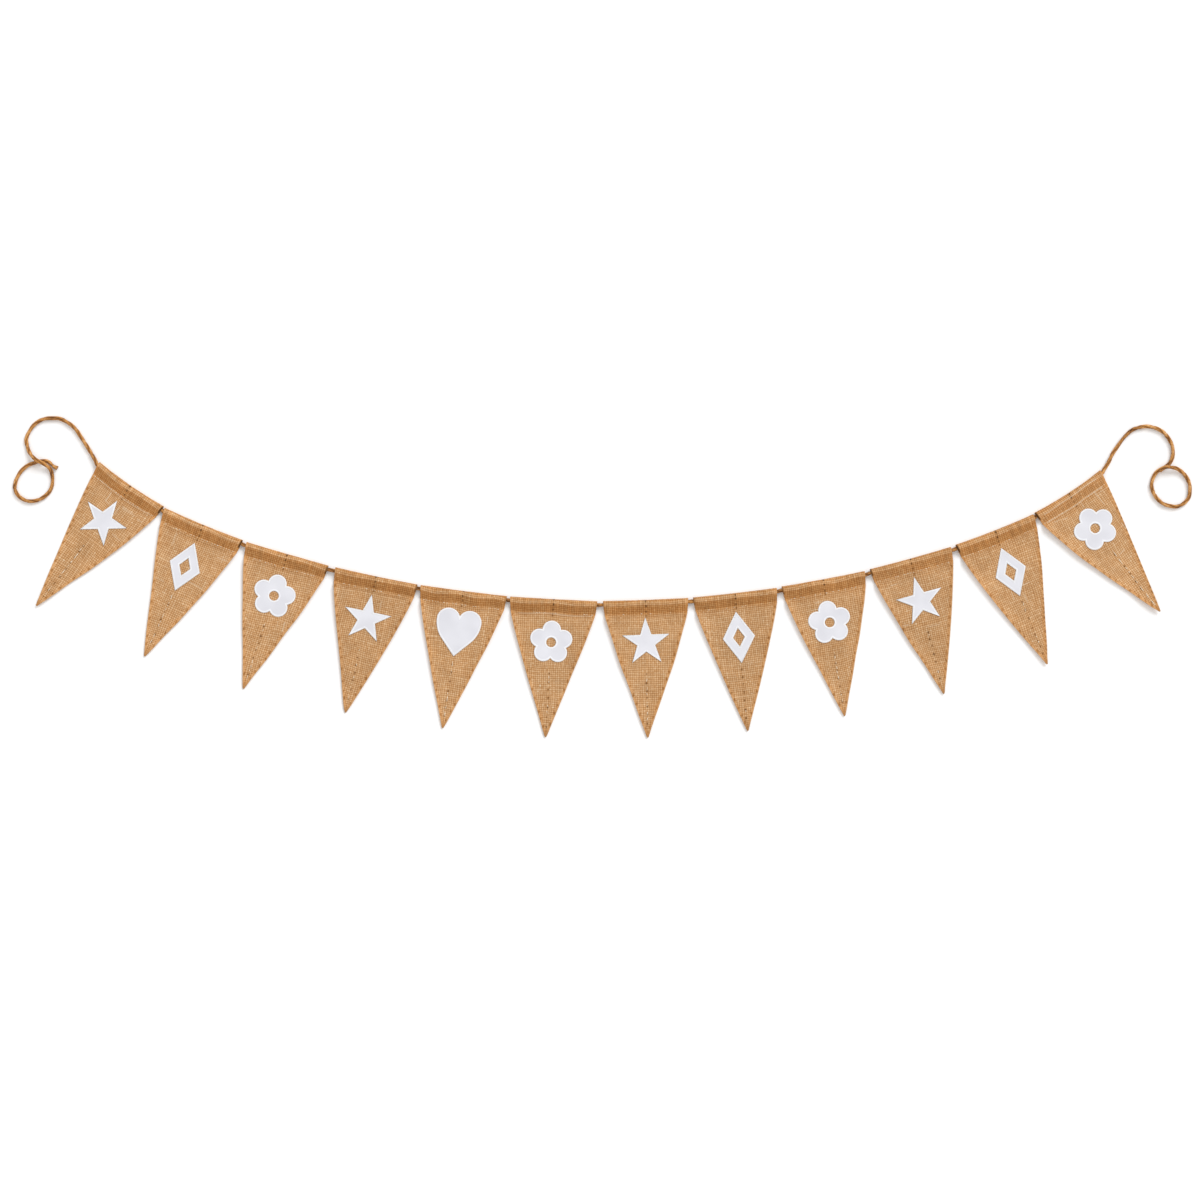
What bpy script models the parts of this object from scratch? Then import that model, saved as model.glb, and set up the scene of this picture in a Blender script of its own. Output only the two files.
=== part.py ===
"""Burlap bunting: twelve pennants on a jute cord that ends in a loop on each side.

It lies face up on the surface z = 0 in a shallow arc. +X runs to the right along the string, +Y to the
ends of the arc, +Z up. The origin is on the surface, in the middle of the pennants' extent.
Sizes are in millimetres here and become metres where a mesh or a curve is made.

Each pennant is one piece of cloth in its own frame: u runs along the top fold, v down to the tip,
z up. Its top is folded to the back over the cord and stitched down as a sleeve.
"""

import math
from collections import namedtuple

import bmesh
import bpy
from mathutils import Vector

MM = 0.001

# Driving dimensions
CLOTH = 1.2             # thickness of the burlap
FELT = 1.0              # thickness of an applique motif
CORD = 5.5              # diameter of the two-ply cord
CLEAR = 0.3             # gap between pieces that lie on each other
SLEEVE_SLACK = 0.5      # room between the cord and the cloth round it
HEM = 19.0              # depth of the sleeve, fold to stitch line
FLAP = 21.5             # depth of the folded-back flap, fold to raw edge
STEP_DOWN = 4.0         # length over which the front comes down off the flap
AXIS = 5.4              # depth of the cord's axis below the fold
CREST_TURN = 32.0       # how far past its top the cloth still hugs the cord, in degrees
SLOPE_SHARE = 0.44      # place of the middle row between there and the stitch line, as a share
SLOPE_SAG = 0.45        # how far that row sags below the straight line
BOW_FADE = 38.0         # length below the stitch line over which the sag of the fold dies away
END_TAPER = 1.7         # how far each sleeve end leans in over the hem
TIP_HALF = 1.2          # half the width of the blunt tip
SWELL_SKEW = 0.7        # below 1, the sides swell most above their middle
EDGE_FROM = 0.8         # share of the half width that lies flat
TIP_FROM = 0.62         # share of the drop that lies flat
JOINT_INSET = 25.0      # how far inside the outer sleeves the free cord ends begin
JOINT_GAP = 0.5         # gap between the free ends' faces and the run's
RUN_REACH = 0.46        # where the run's points lie in a sleeve, as a share of its width

# How finely the curves are cut up
SLEEVE_STEPS = 5        # from under the cord round to its top
FLAT_ROWS = 7           # rows of faces from the foot of the step to the tip
CORD_STEP = 12.5        # spacing of the points along a free cord end
CORD_SIDES = 2          # bevel resolution of the cord: eight sides
CURVE_PARTS = 12        # parts between two points of a route
PETAL_STEPS = 6
LOBE_STEPS = 7
CHEEK_STEPS = 3
EYE_STEPS = 10

# Heights above the surface
CLOTH_MID = CLOTH / 2
HEM_MID = CLOTH + CLEAR + CLOTH_MID
AXIS_HEIGHT = CLOTH + SLEEVE_SLACK + CORD / 2
SLEEVE_RADIUS = CORD / 2 + SLEEVE_SLACK + CLOTH_MID
MOTIF_BASE = CLOTH + CLEAR

# Motifs
STAR_POINTS = 5
STAR_RADIUS = 36.0
LOZENGE_TALL = 75.0
LOZENGE_WIDE = 47.0
LOZENGE_EYE = 0.36      # size of the open middle, as a share
PETALS = 5
PETAL_RADIUS = 13.5
PETAL_REACH = 18.0      # flower middle to petal middle
FLOWER_EYE = 7.0        # radius of the open middle
HEART_TALL = 69.0
HEART_LOBE = 17.0       # radius of a lobe
HEART_SPREAD = 15.6     # middle line to a lobe's middle
HEART_POINT = 42.5      # middle line to a side at the point, in degrees
HEART_TURN = 1.7        # how far it leans to the right, in degrees

# One row for each pennant, left to right. x, y: middle of the top fold. lean: how far the fold falls to
# the right, in degrees. width: along the fold. drop: fold to tip. tip: how far the tip stands to the right
# of the middle. bow: how far the fold sags with the cord. out_left, out_right: how far the two sides swell
# out. up_left, up_right, curl: how far the sides and the tip lift off the surface. motif_v: fold to the
# motif's middle.
Pennant = namedtuple("Pennant", "x y lean width drop tip bow out_left out_right up_left up_right curl "
                                "motif motif_v")
PENNANTS = (
    Pennant(-676.0, 167.7, 34.6, 114.0, 223.5, -14.2, 2.6, 2.3, 4.7, 3.0, 1.6, 3.2, "star", 68),
    Pennant(-571.7, 110.1, 22.5, 123.0, 210.0, -6.4, 1.4, 2.2, 3.8, 2.4, 1.2, 2.4, "lozenge", 68),
    Pennant(-450.3, 66.8, 16.1, 124.0, 205.5, -7.9, 0.3, 2.2, 2.6, 2.6, 1.0, 2.8, "flower", 64),
    Pennant(-321.6, 34.9, 11.9, 122.0, 203.0, -3.7, 0.8, 2.5, 3.0, 2.0, 1.6, 2.0, "star", 64),
    Pennant(-195.2, 13.6, 7.3, 126.5, 201.5, -5.4, 0.6, 1.6, 2.5, 2.6, 1.0, 2.6, "heart", 62),
    Pennant(-65.0, 1.5, 3.1, 127.0, 200.5, -1.1, 0.3, 2.0, 1.7, 2.2, 1.4, 2.2, "flower", 63),
    Pennant(68.0, 0.7, -2.1, 124.0, 200.0, -4.1, 0.6, 2.3, 2.9, 2.2, 1.0, 2.0, "star", 62),
    Pennant(197.3, 10.6, -6.5, 122.6, 201.0, -3.8, 0.7, 2.4, 2.7, 2.4, 1.2, 2.6, "lozenge", 65),
    Pennant(325.1, 30.7, -10.5, 122.8, 201.0, -5.2, 0.8, 2.5, 2.8, 2.8, 1.4, 2.2, "flower", 64),
    Pennant(451.4, 60.7, -15.4, 122.2, 202.5, -4.9, 0.8, 2.4, 3.0, 2.6, 1.0, 2.8, "star", 64),
    Pennant(573.2, 102.0, -21.5, 121.6, 209.5, -0.2, 1.5, 3.4, 3.0, 3.2, 1.6, 2.4, "lozenge", 66),
    Pennant(678.7, 157.1, -33.0, 114.0, 219.0, 18.1, 2.9, 6.3, 2.0, 3.8, 1.2, 3.4, "flower", 67),
)

# Routes of the cord's free ends: x, y and the height of its axis, from the sleeve's mouth outwards
LEFT_ROUTE = (
    (-728.5, 201.5, 4.4), (-733, 209.5, 3.7), (-741, 222.5, 3.0), (-750, 236.5, 2.9), (-758, 248, 2.9),
    (-768, 256.5, 2.9), (-780, 262.5, 2.9), (-792, 263.5, 2.9), (-804.5, 262, 2.9), (-816, 255.5, 2.9),
    (-824, 245.5, 2.9), (-829, 234, 2.9), (-828, 225, 3.0), (-824.5, 214.5, 4.4), (-819, 207.5, 7.4),
    (-814, 203, 9.6), (-808.5, 200, 9.7), (-802, 196.5, 8.1), (-794, 189.5, 4.6), (-791.5, 180.5, 3.2),
    (-791, 171, 2.9), (-793.5, 160.5, 2.9), (-800, 152.5, 2.9), (-808.5, 146.5, 2.9), (-818, 143.5, 2.9),
    (-829, 144, 2.9), (-839.5, 150, 2.9), (-845.5, 160.5, 2.9), (-844.5, 171.5, 2.9), (-841, 180, 2.9),
    (-835, 188.5, 2.9), (-826, 195.5, 2.9), (-815, 199.5, 2.9), (-806, 201.5, 2.9), (-799, 201, 2.9),
    (-793.5, 197.5, 2.9), (-789, 193.5, 2.9), (-784, 191, 2.9),
)
RIGHT_ROUTE = (
    (732, 188.5, 4.4), (739, 199.5, 3.7), (744.5, 211, 3.0), (752, 222.5, 2.9), (761.5, 235.5, 2.9),
    (772, 245.5, 2.9), (783, 250, 2.9), (795, 251.5, 2.9), (807.5, 249, 2.9), (818.5, 243, 2.9),
    (826.5, 233.5, 2.9), (831.5, 223, 2.9), (832.5, 213, 2.9), (831, 204.5, 2.9), (826, 196.5, 2.9),
    (817, 191, 2.9), (808.5, 185, 2.9), (803.5, 176, 2.9), (801.5, 166, 2.9), (804, 155.5, 2.9),
    (809.5, 147, 2.9), (817.5, 140, 2.9), (827, 136.5, 2.9), (838, 135.5, 2.9), (848, 140, 2.9),
    (855, 148, 2.9), (857, 158, 2.9), (856.5, 167.5, 2.9), (852.5, 177, 2.9), (846.5, 184.5, 3.6),
    (838, 190, 5.8), (828.5, 192, 8.4), (820, 192, 8.9), (812, 187, 8.9),
)

BURLAP = ("burlap", (0.60, 0.33, 0.14), 0.95)
SATIN = ("white_satin", (0.86, 0.87, 0.93), 0.45)
JUTE = ("jute_cord", (0.48, 0.25, 0.08), 0.85)


def clear_scene():
    """Remove the objects that the scene starts with."""
    for old in list(bpy.data.objects):
        bpy.data.objects.remove(old, do_unlink=True)


def material(name, colour, roughness):
    """Return the plain material of that name, made once."""
    found = bpy.data.materials.get(name)
    if found:
        return found
    made = bpy.data.materials.new(name)
    made.use_nodes = True
    shader = made.node_tree.nodes["Principled BSDF"]
    shader.inputs["Base Color"].default_value = (*colour, 1.0)
    shader.inputs["Roughness"].default_value = roughness
    shader.inputs["Metallic"].default_value = 0.0
    return made


def add_object(name, data, finish, parent):
    """Link a new object that carries the mesh or curve and its finish."""
    item = bpy.data.objects.new(name, data)
    data.materials.append(material(*finish))
    bpy.context.collection.objects.link(item)
    item.parent = parent
    return item


def smooth(share):
    """Ease from 0 to 1."""
    share = min(max(share, 0.0), 1.0)
    return share * share * (3.0 - 2.0 * share)


# --- Pennants -------------------------------------------------------------------------------------------


def fold_line():
    """Return the cloth's mid-line (v, z) from the flap's raw edge, over the cord, to the foot of the step."""
    half = AXIS - CLOTH_MID
    line = [(FLAP, CLOTH_MID)]
    for step in range(SLEEVE_STEPS + 1):
        turn = math.pi * step / SLEEVE_STEPS
        line.append((AXIS - half * math.sin(turn), AXIS_HEIGHT - SLEEVE_RADIUS * math.cos(turn)))
    past_top = math.radians(CREST_TURN)
    crest = (AXIS + SLEEVE_RADIUS * math.sin(past_top), AXIS_HEIGHT + SLEEVE_RADIUS * math.cos(past_top))
    middle = (crest[0] + SLOPE_SHARE * (HEM - crest[0]),
              crest[1] + SLOPE_SHARE * (HEM_MID - crest[1]) - SLOPE_SAG)
    return line + [crest, middle, (HEM, HEM_MID), (FLAP, HEM_MID), (FLAP + STEP_DOWN, CLOTH_MID)]


def side_limits(flag, v):
    """Return the u of the left and the right side at a depth v."""
    half = flag.width / 2
    if v <= HEM:
        inset = END_TAPER * v / HEM
        return -half + inset, half - inset
    share = (v - HEM) / (flag.drop - HEM)
    shoulder = (half - END_TAPER) * (1.0 - share)
    swell = math.sin(math.pi * share ** SWELL_SKEW)
    return (-shoulder + (flag.tip - TIP_HALF) * share - flag.out_left * swell,
            shoulder + (flag.tip + TIP_HALF) * share + flag.out_right * swell)


def bow_shift(flag, u, v):
    """Return how far the cloth sags with the cord at a place on it."""
    fade = 1.0 - smooth((v - HEM) / BOW_FADE)
    return flag.bow * (1.0 - (2.0 * u / flag.width) ** 2) * fade


def lift(flag, side, v):
    """Return how far the cloth stands off the surface; side runs from -1 to 1 across it."""
    along = (v - HEM) / (flag.drop - HEM)
    out = max(abs(side) - EDGE_FROM, 0.0) / (1.0 - EDGE_FROM)
    edge = (flag.up_left if side < 0 else flag.up_right) * out ** 2 * math.sin(math.pi * along) ** 2
    return edge + flag.curl * smooth((along - TIP_FROM) / (1.0 - TIP_FROM)) ** 2


def pennant_mesh(flag, name):
    """Make the folded sheet of a pennant as a grid of faces on the cloth's mid-line."""
    across = (-1.0, -EDGE_FROM, -EDGE_FROM / 2, EDGE_FROM / 2, EDGE_FROM, 1.0)
    start = FLAP + STEP_DOWN
    flat_rows = [start + (flag.drop - start) * (step + 1) / FLAT_ROWS for step in range(FLAT_ROWS)]
    bm = bmesh.new()
    grid = []
    for v, z in fold_line() + [(v, CLOTH_MID) for v in flat_rows]:
        lies_free = v > start
        left, right = side_limits(flag, v)
        line = []
        for side in across:
            u = (left + right) / 2 + side * (right - left) / 2
            height = z + (lift(flag, side, v) if lies_free else 0.0)
            line.append(bm.verts.new(Vector((u, -v - bow_shift(flag, u, v), height)) * MM))
        grid.append(line)
    for upper, lower in zip(grid, grid[1:]):
        for column in range(len(across) - 1):
            bm.faces.new((upper[column], lower[column], lower[column + 1], upper[column + 1]))
    mesh = bpy.data.meshes.new(name)
    bm.to_mesh(mesh)
    bm.free()
    mesh.shade_smooth()
    return mesh


def add_pennant(index, flag, parent):
    """Make one pennant: the folded sheet, thickened to the cloth, placed on the arc."""
    name = f"pennant_{index:02d}"
    item = add_object(name, pennant_mesh(flag, name), BURLAP, parent)
    thick = item.modifiers.new("cloth", "SOLIDIFY")
    thick.thickness = CLOTH * MM
    thick.offset = 0.0
    thick.use_even_offset = True
    item.location = Vector((flag.x, flag.y, 0.0)) * MM
    item.rotation_euler.z = -math.radians(flag.lean)
    return item


# --- Motifs ---------------------------------------------------------------------------------------------


def ring_points(radius, count):
    """Return points round a circle."""
    turns = [2 * math.pi * step / count for step in range(count)]
    return [(radius * math.cos(turn), radius * math.sin(turn)) for turn in turns]


def star():
    """Return the outline of a star, point up."""
    half_turn = math.pi / STAR_POINTS
    inner = STAR_RADIUS * math.cos(2 * half_turn) / math.cos(half_turn)
    points = []
    for step in range(2 * STAR_POINTS):
        radius = inner if step % 2 else STAR_RADIUS
        turn = math.pi / 2 + half_turn * step
        points.append((radius * math.cos(turn), radius * math.sin(turn)))
    return [points]


def lozenge():
    """Return the outlines of an upright lozenge and of its open middle."""
    outer = [(0, LOZENGE_TALL / 2), (-LOZENGE_WIDE / 2, 0), (0, -LOZENGE_TALL / 2), (LOZENGE_WIDE / 2, 0)]
    return [outer, [(x * LOZENGE_EYE, y * LOZENGE_EYE) for x, y in outer]]


def flower():
    """Return the outlines of a flower of round petals and of its open middle."""
    half_turn = math.pi / PETALS
    meet = math.sqrt(PETAL_RADIUS ** 2 - (PETAL_REACH * math.sin(half_turn)) ** 2)
    notch = PETAL_REACH * math.cos(half_turn) + meet
    swing = math.atan2(notch * math.sin(half_turn), notch * math.cos(half_turn) - PETAL_REACH)
    points = []
    for petal in range(PETALS):
        aim = math.pi / 2 + 2 * half_turn * petal
        for step in range(PETAL_STEPS):
            turn = aim - swing + 2 * swing * step / PETAL_STEPS
            points.append((PETAL_REACH * math.cos(aim) + PETAL_RADIUS * math.cos(turn),
                           PETAL_REACH * math.sin(aim) + PETAL_RADIUS * math.sin(turn)))
    return [points, ring_points(FLOWER_EYE, EYE_STEPS)]


def heart():
    """Return the outline of a heart: round lobes above full cheeks that run straight to the point."""
    lobe_y = HEART_TALL / 2 - HEART_LOBE
    foot = -HEART_TALL / 2
    point = math.radians(HEART_POINT)
    widest = HEART_SPREAD + HEART_LOBE
    cheek = ((lobe_y - foot) * math.sin(point) - widest * math.cos(point)) / (1 - math.cos(point))
    meet = math.pi - math.acos(HEART_SPREAD / HEART_LOBE)
    right = [(0, foot)]
    for step in range(CHEEK_STEPS):
        turn = point * (step / CHEEK_STEPS - 1)
        right.append((widest - cheek + cheek * math.cos(turn), lobe_y + cheek * math.sin(turn)))
    for step in range(LOBE_STEPS + 1):
        turn = meet * step / LOBE_STEPS
        right.append((HEART_SPREAD + HEART_LOBE * math.cos(turn), lobe_y + HEART_LOBE * math.sin(turn)))
    left = [(-x, y) for x, y in reversed(right[1:-1])]
    tilt = math.radians(HEART_TURN)
    return [[(x * math.cos(tilt) + y * math.sin(tilt), y * math.cos(tilt) - x * math.sin(tilt))
             for x, y in right + left]]


OUTLINES = {"star": star, "lozenge": lozenge, "flower": flower, "heart": heart}


def motif_mesh(kind, name):
    """Fill a motif's outlines and raise them to its thickness."""
    bm = bmesh.new()
    edges = []
    for outline in OUTLINES[kind]():
        corners = [bm.verts.new((x * MM, y * MM, MOTIF_BASE * MM)) for x, y in outline]
        for first, second in zip(corners, corners[1:] + corners[:1]):
            edges.append(bm.edges.new((first, second)))
    bmesh.ops.triangle_fill(bm, edges=edges, use_beauty=True)
    raised = bmesh.ops.extrude_face_region(bm, geom=list(bm.faces))
    tops = [part for part in raised["geom"] if isinstance(part, bmesh.types.BMVert)]
    bmesh.ops.translate(bm, verts=tops, vec=(0.0, 0.0, FELT * MM))
    bmesh.ops.recalc_face_normals(bm, faces=list(bm.faces))
    mesh = bpy.data.meshes.new(name)
    bm.to_mesh(mesh)
    bm.free()
    return mesh


def add_motif(index, flag, pennant):
    """Lay a motif on the middle line of its pennant."""
    name = f"motif_{index:02d}"
    item = add_object(name, motif_mesh(flag.motif, name), SATIN, pennant)
    aside = flag.tip * flag.motif_v / flag.drop
    item.location = Vector((aside, -flag.motif_v, 0.0)) * MM
    return item


# --- Cord -----------------------------------------------------------------------------------------------


def axis_point(flag, u):
    """Return the place of the cord's axis in a pennant's sleeve, in the whole bunting's frame."""
    v = AXIS + bow_shift(flag, u, AXIS)
    turn = math.radians(flag.lean)
    along = Vector((math.cos(turn), -math.sin(turn), 0.0))
    down = Vector((-math.sin(turn), -math.cos(turn), 0.0))
    return Vector((flag.x, flag.y, AXIS_HEIGHT)) + along * u + down * v


def smooth_curve(points, spacing):
    """Return points about a spacing apart on a smooth curve through the given ones."""
    ends = [points[0] * 2 - points[1]] + list(points) + [points[-1] * 2 - points[-2]]
    fine = []
    for before, start, stop, after in zip(ends, ends[1:], ends[2:], ends[3:]):
        for step in range(CURVE_PARTS):
            t = step / CURVE_PARTS
            fine.append(0.5 * (2 * start + (stop - before) * t
                               + (2 * before - 5 * start + 4 * stop - after) * t * t
                               + (3 * start - before - 3 * stop + after) * t ** 3))
    fine.append(points[-1])
    length = sum((second - first).length for first, second in zip(fine, fine[1:]))
    count = max(round(length / spacing), 2)
    even = [fine[0]]
    walked = 0.0
    for first, second in zip(fine, fine[1:]):
        walked += (second - first).length
        if walked >= len(even) * length / count and len(even) < count:
            even.append(second)
    return even + [fine[-1]]


def run_points():
    """Return the cord's route through the sleeves, three points for each pennant."""
    outer = [flag.width / 2 - JOINT_INSET for flag in PENNANTS]
    points = []
    for order, flag in enumerate(PENNANTS):
        reach = RUN_REACH * flag.width
        left = -outer[order] if order == 0 else -reach
        right = outer[order] if order == len(PENNANTS) - 1 else reach
        points += [axis_point(flag, u) for u in (left, 0.0, right)]
    return points


def end_points(inside, joint, mouth, route):
    """Return a free end's points: on from the run's last stretch to the mouth, then along its route."""
    ahead = (joint - inside).normalized()
    start = joint + ahead * JOINT_GAP
    near = start + ahead * JOINT_INSET / 2
    return smooth_curve([start, near, mouth] + [Vector(place) for place in route], CORD_STEP)


def add_cord(name, points, parent):
    """Make a stretch of cord as a round tube along its points."""
    curve = bpy.data.curves.new(name, "CURVE")
    curve.dimensions = "3D"
    curve.bevel_depth = CORD / 2 * MM
    curve.bevel_resolution = CORD_SIDES
    curve.use_fill_caps = True
    spline = curve.splines.new("POLY")
    spline.points.add(len(points) - 1)
    for knot, place in zip(spline.points, points):
        knot.co = (*(place * MM), 1.0)
    spline.use_smooth = True
    return add_object(name, curve, JUTE, parent)


def add_cords(parent):
    """Make the stretch in the sleeves and the two free ends with their loops."""
    run = run_points()
    first, last = PENNANTS[0], PENNANTS[-1]
    add_cord("cord_run", run, parent)
    left_mouth = axis_point(first, -first.width / 2)
    right_mouth = axis_point(last, last.width / 2)
    add_cord("cord_end_left", end_points(run[1], run[0], left_mouth, LEFT_ROUTE), parent)
    add_cord("cord_end_right", end_points(run[-2], run[-1], right_mouth, RIGHT_ROUTE), parent)


def main():
    """Build the bunting."""
    clear_scene()
    bunting = bpy.data.objects.new("bunting", None)
    bpy.context.collection.objects.link(bunting)
    for index, flag in enumerate(PENNANTS, start=1):
        pennant = add_pennant(index, flag, bunting)
        add_motif(index, flag, pennant)
    add_cords(bunting)


main()
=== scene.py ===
"""Looks of the burlap bunting: woven pennants on a twisted jute cord, each with a satin applique.

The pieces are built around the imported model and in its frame: the bunting lies face up on z = 0, +X runs
to the right along the string and +Y to the ends of the arc. Sizes are in millimetres here and become
metres where a mesh is made. On a pennant u runs along the top fold and v down to the tip, and s is the way
along the cloth from the raw edge of its folded-back flap, round the cord and down to the tip.
"""

import logging
import math
from dataclasses import dataclass, field
from enum import Enum
from typing import NamedTuple

import bmesh
import bpy
import numpy as np
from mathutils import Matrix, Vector
from mathutils.geometry import delaunay_2d_cdt


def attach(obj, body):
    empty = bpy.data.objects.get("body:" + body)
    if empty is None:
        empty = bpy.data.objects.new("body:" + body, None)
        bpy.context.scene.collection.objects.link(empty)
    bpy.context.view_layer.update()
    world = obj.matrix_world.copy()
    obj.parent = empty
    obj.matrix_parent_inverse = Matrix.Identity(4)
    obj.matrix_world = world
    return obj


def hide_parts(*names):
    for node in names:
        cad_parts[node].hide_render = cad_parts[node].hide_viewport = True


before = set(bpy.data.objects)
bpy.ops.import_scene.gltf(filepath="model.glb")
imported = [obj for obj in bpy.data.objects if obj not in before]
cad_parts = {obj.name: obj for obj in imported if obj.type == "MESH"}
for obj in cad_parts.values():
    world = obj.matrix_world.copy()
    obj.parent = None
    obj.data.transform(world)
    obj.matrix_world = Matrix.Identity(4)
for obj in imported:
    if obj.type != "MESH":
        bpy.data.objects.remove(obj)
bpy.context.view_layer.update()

MM = 0.001
BODY = "root"
LOG = logging.getLogger("bunting")

Point = tuple[float, float]
Range = tuple[float, float]
Colour = tuple[float, float, float]
Outline = list[Point]
Face = tuple[int, ...]

ROUND = 2 * math.pi
WHITE = (1.0, 1.0, 1.0)
NOISE = (0.3, 0.7)          # where most of a noise texture's values lie
UNIT = (0.0, 1.0)
WEAVE_SEED, TONE_SEED, STITCH_SEED, PULL_SEED = 500, 900, 1300, 2100

# The sheet that a pennant's bake map covers: its size, the room at its side and its top, and the rims' width
BAKE_SHEET = 264.0
BAKE_MIDDLE = 65.5
BAKE_MARGIN = 3.0
BAKE_RIM = 0.8


class Slot(Enum):
    """Material slots of the record."""

    BURLAP = "burlap"
    SATIN = "white_satin"
    JUTE = "jute"


class Motif(Enum):
    """Shapes of the appliques."""

    STAR = "star"
    LOZENGE = "lozenge"
    FLOWER = "flower"
    HEART = "heart"


def ease(share: float | np.ndarray) -> float | np.ndarray:
    """Ease from 0 to 1."""
    share = np.clip(share, 0.0, 1.0)
    return share * share * (3.0 - 2.0 * share)


def window(value: float | np.ndarray, rise: Range | None = None,
           fall: Range | None = None) -> float | np.ndarray:
    """Return how far a value lies inside limits with soft edges.

    Args:
        value: the value.
        rise: where the share starts to rise from 0, and where it is 1; no lower limit without it.
        fall: where the share starts to fall from 1, and where it is 0; no upper limit without it.

    Returns:
        The share, from 0 to 1.
    """
    up = ease((value - rise[0]) / (rise[1] - rise[0])) if rise else 1.0
    down = ease((fall[1] - value) / (fall[1] - fall[0])) if fall else 1.0
    return up * down


def soften(values: np.ndarray, reach: int = 11) -> np.ndarray:
    """Smooth a table of numbers; its two ends stay where they are.

    Args:
        values: the numbers.
        reach: how many of them are averaged at each place.

    Returns:
        The smoothed numbers.
    """
    kernel = np.hanning(reach + 2)[1:-1]
    kernel /= kernel.sum()
    pad = reach // 2
    before = values[:1] * 2 - values[pad:0:-1]
    after = values[-1:] * 2 - values[-2:-pad - 2:-1]
    return np.convolve(np.concatenate([before, values, after]), kernel, "valid")


def unit(rows: np.ndarray) -> np.ndarray:
    """Return each row's direction as a vector of length 1."""
    return rows / np.linalg.norm(rows, axis=1)[:, None]


# --- Finishes -------------------------------------------------------------------------------------------


class Recipe:
    """The nodes of one procedural material."""

    def __init__(self, name: str) -> None:
        """Start a material that has only its Principled surface."""
        self.material = bpy.data.materials.new(name)
        self.material.use_nodes = True
        self.tree = self.material.node_tree
        self.surface = self.tree.nodes["Principled BSDF"]

    def add(self, kind: str, sockets: dict | None = None, **options: object) -> bpy.types.Node:
        """Add a node.

        Args:
            kind: the node's type, without its ShaderNode prefix.
            sockets: what goes into its inputs, by name or number: a value, or a socket to link.
            options: the node's own settings.

        Returns:
            The new node.
        """
        node = self.tree.nodes.new("ShaderNode" + kind)
        for name, value in options.items():
            setattr(node, name, value)
        for key, value in (sockets or {}).items():
            self.feed(node, key, value)
        return node

    def feed(self, node: bpy.types.Node, key: str | int, value: object) -> None:
        """Set an input of a node, or link a socket to it.

        Args:
            node: the node.
            key: the input's name or number.
            value: a number, a colour of three numbers, or the output socket to link.
        """
        socket = node.inputs[key]
        if isinstance(value, bpy.types.NodeSocket):
            self.tree.links.new(value, socket)
        else:
            socket.default_value = (*value, 1.0) if socket.type == "RGBA" else value

    def math(self, operation: str, *terms: object, clamp: bool = False) -> bpy.types.NodeSocket:
        """Add a Math node.

        Args:
            operation: its operation.
            terms: its numbers or sockets, in order.
            clamp: whether the result stays between 0 and 1.

        Returns:
            Its result.
        """
        node = self.add("Math", dict(enumerate(terms)), operation=operation, use_clamp=clamp)
        return node.outputs[0]

    def blend(self, share: object, first: object, second: object) -> bpy.types.NodeSocket:
        """Return first + (second - first) * share for numbers."""
        return self.add("Mix", {0: share, 2: first, 3: second}, data_type="FLOAT").outputs[0]

    def tint(self, share: object, first: object, second: object) -> bpy.types.NodeSocket:
        """Return first + (second - first) * share for colours."""
        return self.add("Mix", {0: share, 6: first, 7: second}, data_type="RGBA").outputs[2]

    def span(self, value: object, source: Range, target: Range) -> bpy.types.NodeSocket:
        """Map a number from one range to another, held at its ends.

        Args:
            value: the number or socket.
            source: the range that it comes from.
            target: what the two ends of that range become.

        Returns:
            The mapped number.
        """
        return self.add("MapRange", dict(enumerate((value, *source, *target)))).outputs[0]

    def about(self, value: object, most: float, source: Range = NOISE) -> bpy.types.NodeSocket:
        """Map a range of numbers to the one from -most to most."""
        return self.span(value, source, (-most, most))

    def pair(self, x: object, y: object) -> bpy.types.NodeSocket:
        """Return the vector of two numbers."""
        return self.add("CombineXYZ", {0: x, 1: y}).outputs[0]

    def carried(self, name: str) -> bpy.types.NodeSocket:
        """Return the number that each point carries under a name."""
        return self.add("Attribute", attribute_name=name).outputs["Fac"]

    def mapped(self, name: str) -> list[bpy.types.NodeSocket]:
        """Return the two co-ordinates of a UV map."""
        return list(self.add("SeparateXYZ", {0: self.add("UVMap", uv_map=name).outputs[0]}).outputs)[:2]

    def ground(self) -> bpy.types.NodeSocket:
        """Return where each point lies in the bunting's frame."""
        return self.add("TexCoord").outputs["Object"]

    def noise(self, vector: object, scale: float, detail: float) -> bpy.types.NodeSocket:
        """Return the value of a noise texture, about 0.5 on average."""
        return self.add("TexNoise", {"Vector": vector, "Scale": scale, "Detail": detail}).outputs[0]

    def ramp(self, value: object, stops: tuple) -> bpy.types.NodeSocket:
        """Return the colour that a ramp has at a value.

        Args:
            value: the number or socket, from 0 to 1.
            stops: position and colour of each stop, in order.

        Returns:
            The colour.
        """
        node = self.add("ValToRGB", {0: value})
        elements = node.color_ramp.elements
        while len(elements) < len(stops):
            elements.new(0.5)
        for element, (position, colour) in zip(elements, stops):
            element.position = position
            element.color = (*colour, 1.0)
        return node.outputs[0]

    def bump(self, height: object, distance: float) -> None:
        """Give the surface a bump.

        Args:
            height: the height, from 0 to 1.
            distance: the height of 1, in millimetres.
        """
        node = self.add("Bump", {"Height": height, "Distance": distance * MM, "Strength": 1.0})
        self.feed(self.surface, "Normal", node.outputs[0])

    def dress(self, colour: object, roughness: float, sheen: float = 0.0, specular: float = 0.5) -> None:
        """Give the surface its colour and its gloss.

        Args:
            colour: the colour or the socket that gives it.
            roughness: how matt it is.
            sheen: weight of the fibres' sheen.
            specular: strength of the plain reflection.
        """
        for key, value in (("Base Color", colour), ("Roughness", roughness),
                           ("Sheen Weight", sheen), ("Specular IOR Level", specular)):
            self.feed(self.surface, key, value)


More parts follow.
